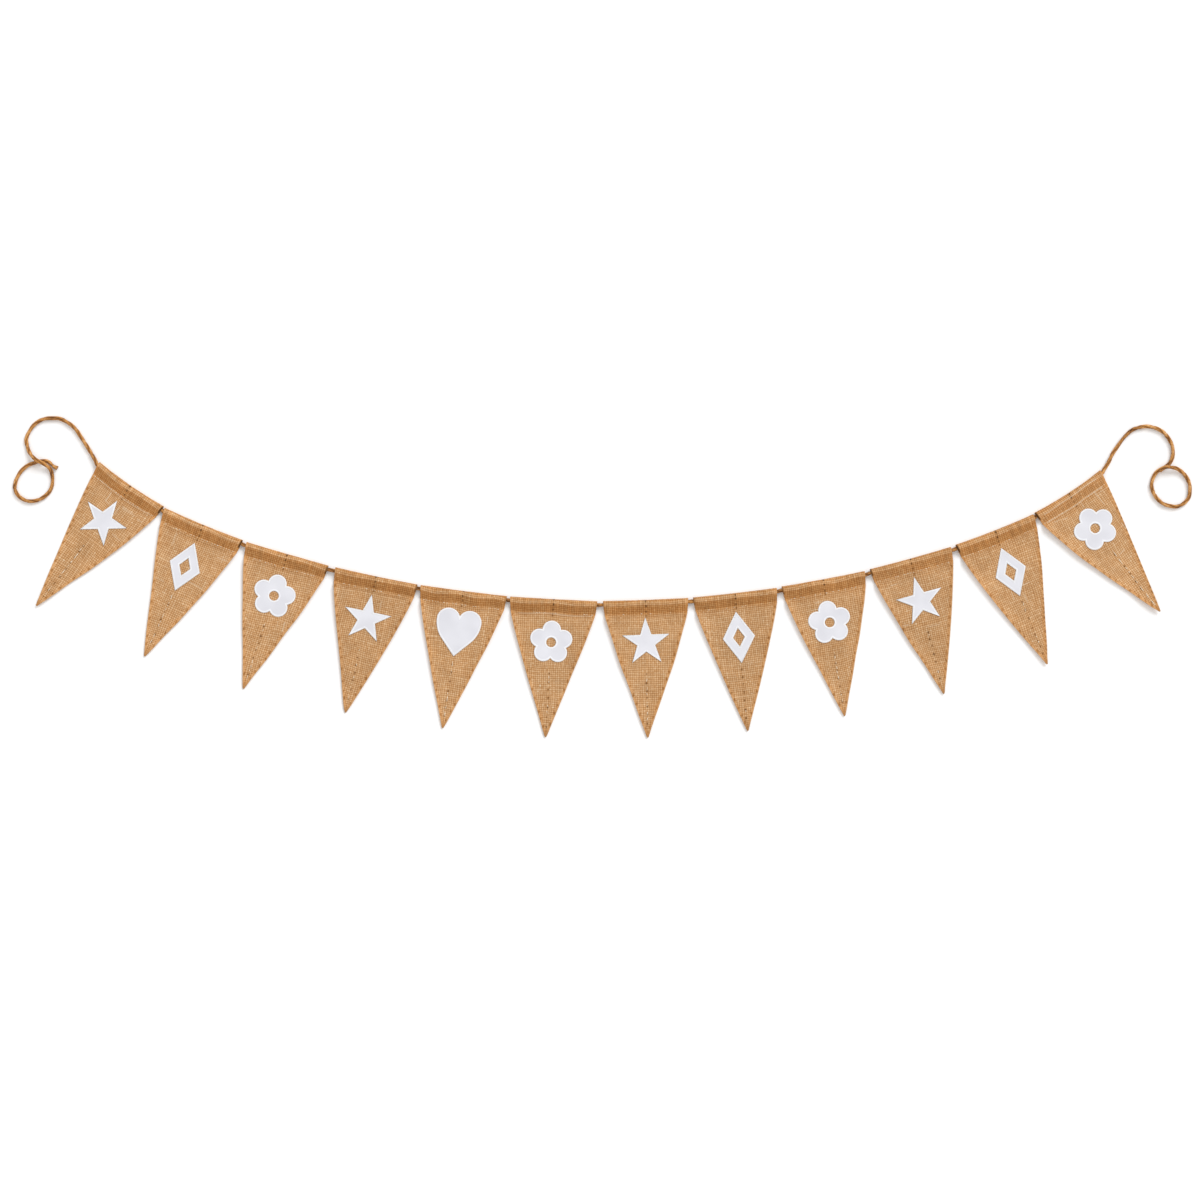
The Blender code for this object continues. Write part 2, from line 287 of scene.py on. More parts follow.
@dataclass(frozen=True)
class Yarns:
    """Which yarn of a weave lies on top at each place, and where on that yarn the place is."""

    number: bpy.types.NodeSocket
    way: bpy.types.NodeSocket
    across: bpy.types.NodeSocket
    pillow: bpy.types.NodeSocket
    crossing: bpy.types.NodeSocket


@dataclass(frozen=True)
class Burlap:
    """Coarse jute cloth in plain weave: matt, with thick and thin yarns and pale slubs, painted light on the
    yarns' crests and painted shade in the gaps between them.

    A tone says how light its detail makes the cloth, or how much it may add or take away.
    """

    name: str = "burlap_weave"
    # Colours from the gaps to the pale yarns; the gap colour is painted shade between the yarns
    gap: Colour = (0.118, 0.046, 0.016)
    shade: Colour = (0.347, 0.152, 0.047)
    body: Colour = (0.573, 0.321, 0.145)
    light: Colour = (0.706, 0.507, 0.315)
    pale: Colour = (0.834, 0.744, 0.578)
    levels: tuple = (0.0, 0.25, 0.5, 0.72, 1.0)
    # Places of painted shade (the sleeve's slope, the rolled sides, the sleeve's mouth) and the dark marks
    # are drawn towards this deeper colour
    deep: Colour = (1.0, 0.80, 0.54)
    roughness: float = 0.93
    sheen: float = 0.04
    specular: float = 0.1
    relief: float = 0.35
    weft_start: float = 0.37
    roundness: float = 0.7
    crest_share: float = 0.55
    # The pillow tone paints each yarn lighter on its crest and darker towards its sides: painted light and
    # shade of the weave
    pillow_range: Range = (0.05, 0.75)
    pillow_shade: Range = (0.44, 1.14)
    yarn_tone: float = 0.075
    slub_grain: Point = (7.3, 0.11)
    slub_range: Range = (0.60, 0.76)
    slub_tone: Range = (0.0, 0.20)
    knot_tone: float = 0.09
    fibre_grain: Point = (5.0, 0.9)
    fibre_shift: float = 11.0
    fibre_scale: float = 1.6
    fibre_tone: float = 0.12
    fibre_height: float = 0.5
    speckle_scale: float = 420.0
    speckle_tone: Range = (0.93, 1.07)
    border_share: float = 0.8
    border_tone: Range = (0.90, 1.06)

    def weave(self, r: Recipe) -> Yarns:
        """Work out the yarns of a plain weave from the weave map.

        Args:
            r: the recipe.

        Returns:
            The yarns.
        """
        warp, weft = r.mapped("weave")
        warp_row, weft_row = r.math("FLOOR", warp), r.math("FLOOR", weft)
        over = r.math("FLOORED_MODULO", r.math("ADD", warp_row, weft_row), 2.0)
        in_warp, in_weft = r.math("FRACT", warp), r.math("FRACT", weft)
        across = r.blend(over, in_weft, in_warp)
        along = r.blend(over, in_warp, in_weft)
        bulge = r.math("POWER", r.math("SINE", r.math("MULTIPLY", across, math.pi)), self.roundness)
        crest = r.math("SINE", r.math("MULTIPLY", along, math.pi))
        crest = r.math("MULTIPLY_ADD", crest, self.crest_share, 1.0 - self.crest_share)
        return Yarns(number=r.blend(over, r.math("ADD", weft_row, self.weft_start), warp_row),
                     way=r.blend(over, warp, weft), across=across,
                     pillow=r.math("MULTIPLY", bulge, crest), crossing=r.pair(warp_row, weft_row))

    def woven(self, r: Recipe, yarns: Yarns, fibre: bpy.types.NodeSocket) -> bpy.types.NodeSocket:
        """Work out how light the plain weave is, with painted light on the yarns' crests and painted shade
        towards the gaps between them.

        Args:
            r: the recipe.
            yarns: its yarns.
            fibre: the streaks of the fibres in them.

        Returns:
            The tone.
        """
        chance = r.add("TexWhiteNoise", {"W": yarns.number}, noise_dimensions="1D").outputs[0]
        knot = r.add("TexWhiteNoise", {"Vector": yarns.crossing}, noise_dimensions="2D").outputs[0]
        strand = r.pair(r.math("MULTIPLY", yarns.number, self.slub_grain[0]),
                        r.math("MULTIPLY", yarns.way, self.slub_grain[1]))
        tone = r.math("ADD", r.about(chance, self.yarn_tone, UNIT),
                      r.span(r.noise(strand, 1.0, 1.0), self.slub_range, self.slub_tone))
        # Painted light on the yarns' crests, painted shade towards the gaps between them
        tone = r.math("ADD", r.span(yarns.pillow, self.pillow_range, self.pillow_shade), tone)
        for part in (r.about(knot, self.knot_tone, UNIT), r.about(fibre, self.fibre_tone)):
            tone = r.math("ADD", tone, part)
        return tone

    def make(self) -> bpy.types.Material:
        """Make the material; it reads the weave map and the tone, depth, border and pull of each point.

        Returns:
            The material.
        """
        r = Recipe(self.name)
        yarns = self.weave(r)
        shift = r.math("MULTIPLY", yarns.number, self.fibre_shift)
        fibre = r.noise(r.pair(r.math("MULTIPLY_ADD", yarns.across, self.fibre_grain[0], shift),
                               r.math("MULTIPLY", yarns.way, self.fibre_grain[1])), self.fibre_scale, 3.0)
        border = r.carried("border")
        held = r.blend(r.math("MULTIPLY", border, self.border_share), self.woven(r, yarns, fibre),
                       r.span(fibre, NOISE, self.border_tone))
        speckle = r.noise(r.ground(), self.speckle_scale, 3.0)
        held = r.math("MULTIPLY", held, r.span(speckle, NOISE, self.speckle_tone))
        # The ramp runs from the gap colour, painted shade between the yarns, to the pale yarns
        colours = (self.gap, self.shade, self.body, self.light, self.pale)
        colour = r.ramp(r.math("MULTIPLY", held, 0.5, clamp=True), tuple(zip(self.levels, colours)))
        # Depth draws the colour deeper where painted shade and the dark marks lie
        deep = r.tint(r.carried("depth"), WHITE, self.deep)
        deep = r.add("VectorMath", {0: deep, 3: r.carried("tone")}, operation="SCALE").outputs[0]
        colour = r.add("VectorMath", {0: colour, 1: deep}, operation="MULTIPLY").outputs[0]
        r.dress(r.tint(r.carried("pull"), colour, self.pale), self.roughness, self.sheen, self.specular)
        bulge = r.math("MULTIPLY", yarns.pillow, r.math("SUBTRACT", 1.0, border))
        r.bump(r.math("ADD", bulge, r.math("MULTIPLY", fibre, self.fibre_height)), self.relief)
        return r.material


@dataclass(frozen=True)
class Satin:
    """White satin with a soft sheen and patches of painted sheen, inside a brighter border of close satin
    stitch.
    """

    name: str = "white_satin_stitched"
    inside: Colour = (0.645, 0.645, 0.687)
    # Patches of painted sheen draw the inside towards this lighter colour
    painted_sheen: Colour = (0.706, 0.706, 0.748)
    trim: Colour = (0.827, 0.832, 0.856)
    roughness: float = 0.42
    sheen: float = 0.2
    specular: float = 0.35
    relief: float = 0.12
    stitch: float = 0.55
    painted_sheen_scale: float = 34.0
    painted_sheen_range: Range = (0.32, 0.68)
    weave_scale: float = 1500.0
    weave_height: float = 0.3

    def make(self) -> bpy.types.Material:
        """Make the material; it reads the trim share and the stitch map of each point.

        Returns:
            The material.
        """
        r = Recipe(self.name)
        trim, ground = r.carried("trim"), r.ground()
        # Painted sheen: soft patches where the inside turns lighter
        fold = r.span(r.noise(ground, self.painted_sheen_scale, 1.0), self.painted_sheen_range, UNIT)
        inside = r.ramp(fold, ((0.0, self.inside), (1.0, self.painted_sheen)))
        r.dress(r.tint(trim, inside, self.trim), self.roughness, self.sheen, self.specular)
        thread = r.math("SINE", r.math("MULTIPLY", r.mapped("stitch")[0], ROUND / self.stitch))
        ribs = r.math("MULTIPLY", r.math("MULTIPLY_ADD", thread, 0.5, 0.5), trim)
        weave = r.math("MULTIPLY", r.noise(ground, self.weave_scale, 2.0), self.weave_height)
        r.bump(r.math("ADD", ribs, weave), self.relief)
        return r.material


@dataclass(frozen=True)
class Jute:
    """Two-ply jute: long fibres along each strand, with painted light where the plies stand out and painted
    shade in the grooves.
    """

    name: str = "jute_twist"
    # The darkest colour, which the painted groove shade draws the grooves towards
    groove: Colour = (0.089, 0.032, 0.007)
    shade: Colour = (0.309, 0.126, 0.030)
    body: Colour = (0.538, 0.243, 0.060)
    light: Colour = (0.742, 0.465, 0.222)
    levels: tuple = (0.0, 0.28, 0.55, 0.9)
    roughness: float = 0.86
    sheen: float = 0.1
    specular: float = 0.3
    relief: float = 0.45
    lean: float = 0.09
    streak_grain: Point = (9.0, 0.055)
    streak_scale: float = 1.3
    streak_tone: Range = (0.12, 0.88)
    patch_scale: float = 62.0
    patch_tone: float = 0.18

    def make(self) -> bpy.types.Material:
        """Make the material; it reads the fibre map and the tone of each point, which carries painted groove
        shade.

        Returns:
            The material.
        """
        r = Recipe(self.name)
        round_it, way = r.mapped("fibre")
        lean = r.math("MULTIPLY_ADD", way, self.lean, round_it)
        streak = r.noise(r.pair(r.math("MULTIPLY", lean, self.streak_grain[0]),
                                r.math("MULTIPLY", way, self.streak_grain[1])), self.streak_scale, 4.0)
        patch = r.noise(r.ground(), self.patch_scale, 1.0)
        level = r.math("ADD", r.span(streak, NOISE, self.streak_tone), r.about(patch, self.patch_tone))
        level = r.math("MULTIPLY", level, r.carried("tone"), clamp=True)
        colours = (self.groove, self.shade, self.body, self.light)
        r.dress(r.ramp(level, tuple(zip(self.levels, colours))), self.roughness, self.sheen, self.specular)
        r.bump(streak, self.relief)
        return r.material


@dataclass(frozen=True)
class Thread:
    """Pale cotton sewing thread with a fine twist."""

    name: str = "cotton_thread"
    shade: Colour = (0.654, 0.468, 0.281)
    light: Colour = (0.870, 0.776, 0.617)
    roughness: float = 0.8
    relief: float = 0.1
    patch_scale: float = 260.0
    patch_range: Range = (0.35, 0.65)
    twist_scale: float = 1800.0

    def make(self) -> bpy.types.Material:
        """Make the material.

        Returns:
            The material.
        """
        r = Recipe(self.name)
        ground = r.ground()
        level = r.span(r.noise(ground, self.patch_scale, 2.0), self.patch_range, UNIT)
        r.dress(r.ramp(level, ((0.0, self.shade), (1.0, self.light))), self.roughness)
        r.bump(r.noise(ground, self.twist_scale, 1.0), self.relief)
        return r.material


@dataclass(frozen=True)
class Paper:
    """Plain white backdrop paper."""

    name: str = "white_paper"
    colour: Colour = (0.95, 0.95, 0.95)

    def make(self) -> bpy.types.Material:
        """Make the material.

        Returns:
            The material.
        """
        r = Recipe(self.name)
        r.dress(self.colour, 1.0, specular=0.0)
        return r.material


# --- Mesh helpers ---------------------------------------------------------------------------------------


def link_object(name: str, data: bpy.types.ID) -> bpy.types.Object:
    """Make an object of a mesh, a lamp or a camera, linked to the scene.

    Args:
        name: its name.
        data: the mesh, lamp or camera.

    Returns:
        The object.
    """
    item = bpy.data.objects.new(name, data)
    bpy.context.scene.collection.objects.link(item)
    return item


def make_object(name: str, points: list | np.ndarray, faces: list[Face],
                finish: bpy.types.Material) -> bpy.types.Object:
    """Make a smooth mesh object.

    Args:
        name: its name.
        points: its points in millimetres, in the bunting's frame.
        faces: its faces.
        finish: its material.

    Returns:
        The object, linked to the scene.
    """
    mesh = bpy.data.meshes.new(name)
    mesh.from_pydata((np.array(points) * MM).tolist(), [], faces)
    mesh.shade_smooth()
    mesh.materials.append(finish)
    return link_object(name, mesh)


def corner_points(mesh: bpy.types.Mesh) -> np.ndarray:
    """Return the point of each face corner."""
    found = np.zeros(len(mesh.loops), np.int32)
    mesh.loops.foreach_get("vertex_index", found)
    return found


def add_map(mesh: bpy.types.Mesh, name: str, places: np.ndarray) -> None:
    """Add a UV map.

    Args:
        mesh: the mesh.
        name: the map's name.
        places: the place of each face corner.
    """
    mesh.uv_layers.new(name=name).data.foreach_set("uv", places.astype(np.float32).ravel())


def add_values(mesh: bpy.types.Mesh, name: str, values: np.ndarray) -> None:
    """Add a number for each point.

    Args:
        mesh: the mesh.
        name: what the numbers are called.
        values: the numbers.
    """
    layer = mesh.attributes.new(name, "FLOAT", "POINT")
    layer.data.foreach_set("value", np.asarray(values, np.float32))


def bridge(first: list[int], second: list[int], ways: np.ndarray, flip: bool) -> list[Face]:
    """Fill the strip between two rows of points with triangles.

    Args:
        first: points of one row.
        second: points of the other row, in the same direction.
        ways: how far along its row each point is.
        flip: whether the strip faces the other way.

    Returns:
        The triangles.
    """
    faces: list[Face] = []
    i = j = 0
    while i < len(first) - 1 or j < len(second) - 1:
        ahead = j == len(second) - 1 or (
            i < len(first) - 1 and ways[first[i + 1]] <= ways[second[j + 1]])
        if ahead:
            face = (first[i], first[i + 1], second[j])
            i += 1
        else:
            face = (first[i], second[j + 1], second[j])
            j += 1
        faces.append(face[::-1] if flip else face)
    return faces


def ways_along(line: list | np.ndarray) -> np.ndarray:
    """Return how far along a line each of its points is."""
    steps = np.diff(np.array(line, float), axis=0)
    return np.concatenate([[0.0], np.cumsum(np.linalg.norm(steps, axis=1))])


def smooth_path(points: list[Vector], spacing: float, parts: int = 16) -> list[Vector]:
    """Return points on a smooth curve through the given ones.

    Args:
        points: the points that it passes through.
        spacing: how far apart the new points are, in millimetres.
        parts: how many steps of the curve are worked out between two given points.

    Returns:
        The new points.
    """
    ends = [points[0] * 2 - points[1]] + points + [points[-1] * 2 - points[-2]]
    fine: list[Vector] = []
    for before, start, stop, after in zip(ends, ends[1:], ends[2:], ends[3:]):
        for step in range(parts):
            t = step / parts
            fine.append(0.5 * (2 * start + (stop - before) * t
                               + (2 * before - 5 * start + 4 * stop - after) * t * t
                               + (3 * start - before - 3 * stop + after) * t ** 3))
    line = np.array(fine + [points[-1]], float)
    way = ways_along(line)
    at = np.linspace(0.0, way[-1], max(2, round(way[-1] / spacing) + 1))
    return [Vector(place) for place in np.stack([np.interp(at, way, line[:, k]) for k in range(3)], axis=1)]


def turned(radius: float, turn: float) -> Point:
    """Return the point at a radius and a turn from the X axis."""
    return radius * math.cos(turn), radius * math.sin(turn)


def sides_of(outline: Outline) -> list[tuple[Point, Point]]:
    """Return the two ends of each side of a closed outline."""
    return list(zip(outline, outline[1:] + outline[:1]))




# --- Pennants -------------------------------------------------------------------------------------------


@dataclass(frozen=True)
class Fold:
    """How the cloth is folded over the cord: flap, sleeve, slope, stitch line and the step down."""

    cloth: float = 1.2
    cord: float = 5.5
    slack: float = 0.5
    clear: float = 0.3
    hem: float = 19.0
    flap: float = 21.5
    step_down: float = 4.0
    axis: float = 5.4
    crest_turn: float = 32.0
    crest_shares: Range = (0.5, 1.0)
    slope_shares: tuple = (0.22, 0.44, 0.72)
    slope_sag: float = 0.45
    arc_parts: int = 24

    @property
    def middle(self) -> float:
        """Height of the cloth's middle where it lies on the surface."""
        return self.cloth / 2

    @property
    def hem_middle(self) -> float:
        """Height of the front cloth's middle where it lies on the flap."""
        return self.cloth + self.clear + self.middle

    @property
    def axis_height(self) -> float:
        """Height of the cord's axis in the sleeve."""
        return self.cloth + self.slack + self.cord / 2

    @property
    def radius(self) -> float:
        """Radius of the cloth's middle round the cord."""
        return self.cord / 2 + self.slack + self.middle

    def line(self) -> np.ndarray:
        """Lay out the fold.

        Returns:
            The v and z of the cloth's middle line, from the flap's raw edge to the foot of the step.
        """
        half = self.axis - self.middle
        points = [(self.flap, self.middle)]
        for step in range(self.arc_parts + 1):
            turn = math.pi * step / self.arc_parts
            points.append((self.axis - half * math.sin(turn),
                           self.axis_height - self.radius * math.cos(turn)))
        past = math.radians(self.crest_turn)
        for share in self.crest_shares:
            points.append((self.axis + self.radius * math.sin(past * share),
                           self.axis_height + self.radius * math.cos(past * share)))
        crest = points[-1]
        drop = self.hem_middle - crest[1]
        for share in self.slope_shares:
            sag = self.slope_sag * math.sin(math.pi * share)
            points.append((crest[0] + share * (self.hem - crest[0]), crest[1] + share * drop - sag))
        points += [(self.hem, self.hem_middle), (self.flap, self.hem_middle),
                   (self.flap + self.step_down / 2, (self.hem_middle + self.middle) / 2),
                   (self.flap + self.step_down, self.middle)]
        return np.array(points)


@dataclass
class Weave:
    """Where the yarns of one cloth lie: a plain weave with uneven yarns that drift a little."""

    seed: int
    long: float
    pitch: float = 2.9
    jitter: float = 0.34
    most_jitter: float = 0.8
    drift: float = 0.78
    drift_waves: int = 10
    drift_reach: Point = (55.0, 70.0)
    drift_share: Range = (0.3, 1.0)
    end_hold: float = 12.0
    half_wide: float = 68.0
    samples: int = 3
    columns: np.ndarray = field(init=False)
    rows: np.ndarray = field(init=False)
    waves: np.ndarray = field(init=False)

    def __post_init__(self) -> None:
        """Draw the places of the gaps between the yarns and the waves of their drift."""
        rng = np.random.default_rng(self.seed)
        count = math.ceil(self.half_wide / self.pitch)
        gaps = np.arange(-count, count + 1) * self.pitch
        self.columns = self.between(gaps + self.unevenness(rng, len(gaps)))
        rows = round(self.long / self.pitch)
        gaps = np.linspace(0.0, self.long, rows + 1)
        gaps[1:-1] += self.unevenness(rng, rows - 1)
        self.rows = self.between(gaps)
        count = self.drift_waves
        self.waves = np.stack([*(rng.uniform(-1.0, 1.0, count) / reach for reach in self.drift_reach),
                               rng.uniform(0.0, ROUND, count), rng.uniform(*self.drift_share, count)])

    def unevenness(self, rng: np.random.Generator, count: int) -> np.ndarray:
        """Draw how far gaps between yarns are from where even ones would be."""
        return rng.normal(0.0, self.jitter, count).clip(-self.most_jitter, self.most_jitter)

    def between(self, gaps: np.ndarray) -> np.ndarray:
        """Return the gaps and, between each two, the other samples of a yarn."""
        index = np.arange((len(gaps) - 1) * self.samples + 1) / self.samples
        return np.interp(index, np.arange(len(gaps)), gaps)

    def drifted(self, u: np.ndarray, s: float, way: int) -> np.ndarray:
        """Return how far the yarns have drifted.

        Args:
            u: places across.
            s: place along the cloth.
            way: 0 for the drift across, 1 for the drift along.

        Returns:
            The drift at each place, in millimetres; along the cloth there is none at the two raw ends.
        """
        total = np.zeros_like(u)
        for across, along, start, size in self.waves.T[way::2]:
            total = total + size * np.sin(ROUND * (u * across + s * along) + start)
        held = float(window(s, (0.0, self.end_hold), (self.long - self.end_hold, self.long))) if way else 1.0
        return total * self.drift * held


@dataclass
class Layer:
    """One face of the cloth: its rows of points and its faces."""

    rows: list[list[int]]
    faces: list[Face]


@dataclass(frozen=True)
class Spots:
    """What is known of each point of the cloth: its place, its yarns and how far the side is."""

    u: np.ndarray
    s: np.ndarray
    warp: np.ndarray
    weft: np.ndarray
    inside: np.ndarray
    v: np.ndarray


class Mark(NamedTuple):
    """One small dark mark."""

    u: float
    v: float
    size: float
    dark: float


class Shade(NamedTuple):
    """One shaded place: its share at each point, and how much lighter and deeper it makes the cloth there."""

    share: np.ndarray
    lighter: float
    deeper: float | np.ndarray


@dataclass(frozen=True)
class Dots:
    """A row of dark marks down the cloth: where it runs, and what each mark is like."""

    start: Range
    end: float
    step: Range
    aside: Range
    size: Range
    dark: Range


@dataclass(frozen=True)
class WearAndShade:
    """Tones of the cloth: clouds, dark marks, a darker tip, pale pulled yarns, and painted light and shade on
    the bands of the sleeve's roll and slope, on the rolled sides and in the sleeve's mouth.

    Tones are shares of the plain cloth's lightness, depths are shares of the deepest colour, and places
    and sizes are in millimetres.
    """

    clouds: tuple = ((0.014, (38.0, 38.0)), (0.008, (13.0, 13.0)))
    sleeve_cloud: tuple = (0.022, (7.0, 26.0))
    cloud_waves: int = 8
    # Bands down the sleeve: painted light on the top of the roll, painted shade with a deeper colour at its
    # upper rim and down the slope to the hem, and a little painted light under the step
    band_v: tuple = (0.5, 2.5, 4.0, 5.8, 7.4, 8.6, 11.0, 14.0, 18.6, 19.6, 21.0, 23.5, 26.0, 29.0)
    band_light_and_shade: tuple = (0.85, 0.91, 1.00, 1.07, 1.00, 0.90, 0.945, 0.87, 0.885, 0.955, 0.985, 1.015, 1.01,
                        1.0)
    band_shade_depth: tuple = (0.72, 0.62, 0.12, 0.06, 0.66, 1.0, 0.91, 0.96, 0.91, 0.53, 0.29, 0.24, 0.08, 0.0)
    back_depth: float = 0.23
    tone_limits: Range = (0.05, 1.3)
    slope_rise: Range = (6.0, 9.0)
    slope_ends: Point = (1.0, 2.0)
    tip_ends: Point = (14.0, 2.0)
    tip_shade: Point = (-0.25, 0.5)
    roll_rise: Range = (0.9, 1.9)
    roll_fall: Range = (4.4, 6.0)
    # Rolled sides: painted light on pennants with a positive lean, painted shade on the others, and a deeper
    # colour, deepest on the shaded right sides
    roll_light_and_shade: Point = (0.05, -0.02)
    roll_colour_and_shade_depths: Point = (0.24, 0.42)
    rim_fall: Range = (0.6, 1.6)
    rim_tone: float = 0.05
    mark_fall: Range = (0.5, 1.5)
    mark_depth: float = 0.8
    mark_squeeze: Point = (0.5, 0.8)
    bold_mark: float = 0.5
    head_marks: tuple = ((2.0, 0.8), (8.2, 0.78), (15.8, 0.6), (22.2, 0.5))
    head_jitter: Point = (0.25, 0.5)
    head_size: float = 1.2
    head_strength: Range = (0.8, 1.1)
    middle_dots: Dots = Dots(start=(44.0, 48.0), end=14.0, step=(9.5, 14.0), aside=(0.0, 0.35),
                             size=(0.9, 1.5), dark=(0.52, 0.66))
    raised_dots: Dots = Dots(start=(4.0, 12.0), end=12.0, step=(9.0, 16.0), aside=(2.0, 2.8),
                             size=(0.85, 1.4), dark=(0.3, 0.48))
    flat_dots: Dots = Dots(start=(4.0, 12.0), end=12.0, step=(4.5, 9.0), aside=(0.7, 1.5),
                           size=(0.85, 1.4), dark=(0.34, 0.54))
    flat_side: float = 1.0
    # Painted shade in the sleeve's open mouth, darker the more the pennant leans
    mouth_shade_fall: Range = (1.4, 2.8)
    mouth_shade_rise_v: Range = (0.0, 1.5)
    mouth_shade_fall_v: Range = (10.5, 13.5)
    mouth_shade_least: float = 0.1
    mouth_shade_most: float = 0.88
    mouth_shade_lean: float = 26.0
    pull_lean: float = 6.0
    pull_u: Range = (-45.0, 45.0)
    pull_v: Range = (24.0, 110.0)
    pull_long: Range = (6.0, 22.0)
    pull_slant: float = 0.4
    pull_across: float = 0.6
    pull_pale: Range = (0.24, 0.42)
    pull_fall: Range = (0.25, 0.85)
    border_ends: Point = (0.3, 0.4)


@dataclass(frozen=True)
class Relief:
    """How far points lie from the two faces of the cloth, in millimetres."""

    crest: float = 0.02
    gap: float = 0.24
    under: float = 0.07
    rim: float = -0.22
    back: float = 0.08
    back_rim: float = 0.25
    roll: float = 0.06
    roll_ends: Point = (0.2, 0.6)
    groove: float = 0.2
    groove_at: float = 0.5
    groove_wide: float = 0.5
    fold_swell: float = 0.35
    swell_end: float = 3.0


@dataclass
class Pennant:
    """One folded burlap pennant, woven and cut as the real one."""

    index: int
    x: float
    y: float
    lean: float
    width: float
    drop: float
    tip: float
    bow: float
    out_left: float
    out_right: float
    up_left: float
    up_right: float
    curl: float
    motif: Motif
    motif_v: float
    warmth: float = 1.0
    dashes: float = 0.5
    # The sleeve and deep factors scale the tone and the depth of the sleeve's slope, which carries painted
    # shade
    sleeve: float = 1.0
    deep: float = 1.0
    end_taper: float = 1.7
    tip_half: float = 1.2
    swell_skew: float = 0.7
    edge_reach: float = 15.0
    edge_share: float = 0.7
    edge_start: float = 9.0
    tip_from: float = 0.62
    bow_fade: float = 38.0
    trim: Point = (0.25, 0.0)
    border: float = 2.8
    margin: float = 0.4
    table_size: int = 1200
    warp_shift: float = 80.0
    weft_shift: float = 160.0
    fold: Fold = Fold()
    relief: Relief = Relief()
    wear_and_shade: WearAndShade = WearAndShade()

    def __post_init__(self) -> None:
        """Measure the cloth along its fold and draw its weave."""
        line = np.vstack([self.fold.line(), [[self.drop, self.fold.middle]]])
        stations = ways_along(line)
        self.long = float(stations[-1])
        self.table_s = np.linspace(0.0, self.long, self.table_size)
        self.table_v, self.table_z = (
            soften(np.interp(self.table_s, stations, line[:, axis])) for axis in (0, 1))
        dv, dz = np.gradient(self.table_v), np.gradient(self.table_z)
        size = np.hypot(dv, dz)
        self.table_nv, self.table_nz = -dz / size, dv / size
        self.front_index = int(np.argmin(self.table_v))
        self.front_s = float(self.table_s[self.front_index])
        self.weave = Weave(seed=WEAVE_SEED + self.index, long=self.long)

    def s_at(self, v: float) -> float:
        """Return the way along the cloth of a depth on the front."""
        start = self.front_index
        return float(np.interp(v, self.table_v[start:], self.table_s[start:]))

    def side_limits(self, v: float) -> Point:
        """Work out how wide the cloth is.

        Args:
            v: the depth.

        Returns:
            The u of its left and of its right side there.
        """
        half = self.width / 2
        hem = self.fold.hem
        if v <= hem:
            inset = self.end_taper * max(v, 0.0) / hem
            return -half + inset, half - inset
        share = min((v - hem) / (self.drop - hem), 1.0)
        shoulder = (half - self.end_taper) * (1.0 - share)
        swell = math.sin(math.pi * share ** self.swell_skew)
        return (-shoulder + (self.tip - self.tip_half) * share - self.out_left * swell,
                shoulder + (self.tip + self.tip_half) * share + self.out_right * swell)

    def laid(self, u: float | np.ndarray, v: float | np.ndarray) -> tuple:
        """Return the x and y, in the bunting's frame, of a u and a v."""
        turn = math.radians(self.lean)
        return (self.x + u * math.cos(turn) - v * math.sin(turn),
                self.y - u * math.sin(turn) - v * math.cos(turn))

    def sag(self, u: float | np.ndarray) -> float | np.ndarray:
        """Return how far the fold sags with the cord."""
        return self.bow * (1.0 - (2.0 * u / self.width) ** 2)

    def place(self, u: np.ndarray, s: np.ndarray, out: np.ndarray) -> np.ndarray:
        """Return where points of the cloth are in the bunting's frame.

        Args:
            u: places across.
            s: ways along the cloth.
            out: distances from the cloth's middle, towards its outer face.

        Returns:
            One row of x, y and z for each point, in millimetres.
        """
        v, z, nv, nz = (np.interp(s, self.table_s, table)
                        for table in (self.table_v, self.table_z, self.table_nv, self.table_nz))
        hem = self.fold.hem
        height = z + nz * out + np.where(s > self.front_s, self.lift(u, v), 0.0)
        depth = v + nv * out + self.sag(u) * window(v, fall=(hem, hem + self.bow_fade))
        return np.stack([*self.laid(u, depth), height], axis=1)

    def lift(self, u: np.ndarray, v: np.ndarray) -> np.ndarray:
        """Return how far the cloth stands off the surface.

        Args:
            u: places across.
            v: their depths.

        Returns:
            The heights, which are 0 above the hem.
        """
        hem = self.fold.hem
        inside = np.clip((v - hem) / (self.drop - hem), *UNIT)
        limits = np.array([self.side_limits(float(depth)) for depth in v])
        middle, half = limits.mean(axis=1), (limits[:, 1] - limits[:, 0]) / 2
        reach = np.minimum(self.edge_reach, self.edge_share * half)
        out = np.clip(1.0 - (half - np.abs(u - middle)) / reach, *UNIT)
        rise = np.where(u < middle, self.up_left, self.up_right)
        edge = rise * out ** 2 * window(v, (hem, hem + self.edge_start)) * np.sqrt(1.0 - inside)
        return np.where(v > hem, edge + self.curl * window(inside, (self.tip_from, 1.0)) ** 2, 0.0)

    def under_crests(self, column: np.ndarray, row: int, inside: np.ndarray) -> np.ndarray:
        """Return how far points of the front lie under the crests of the yarns.

        Args:
            column: number of each point's column.
            row: number of its row.
            inside: distance of each point from the side of the cloth.

        Returns:
            The depths, in millimetres.
        """
        relief, samples = self.relief, self.weave.samples
        depth = np.where(column % samples == 0, relief.gap, 0.0) + (relief.gap if row % samples == 0 else 0.0)
        depth = depth + np.where((column // samples + row // samples) % 2 == 0, 0.0, relief.under)
        below, above = relief.roll_ends
        rolled = window(inside, fall=(self.border - below, self.border + above))
        away = (inside - self.border - relief.groove_at) / relief.groove_wide
        return depth * (1.0 - rolled) + relief.roll * rolled + relief.groove * np.exp(-away ** 2)

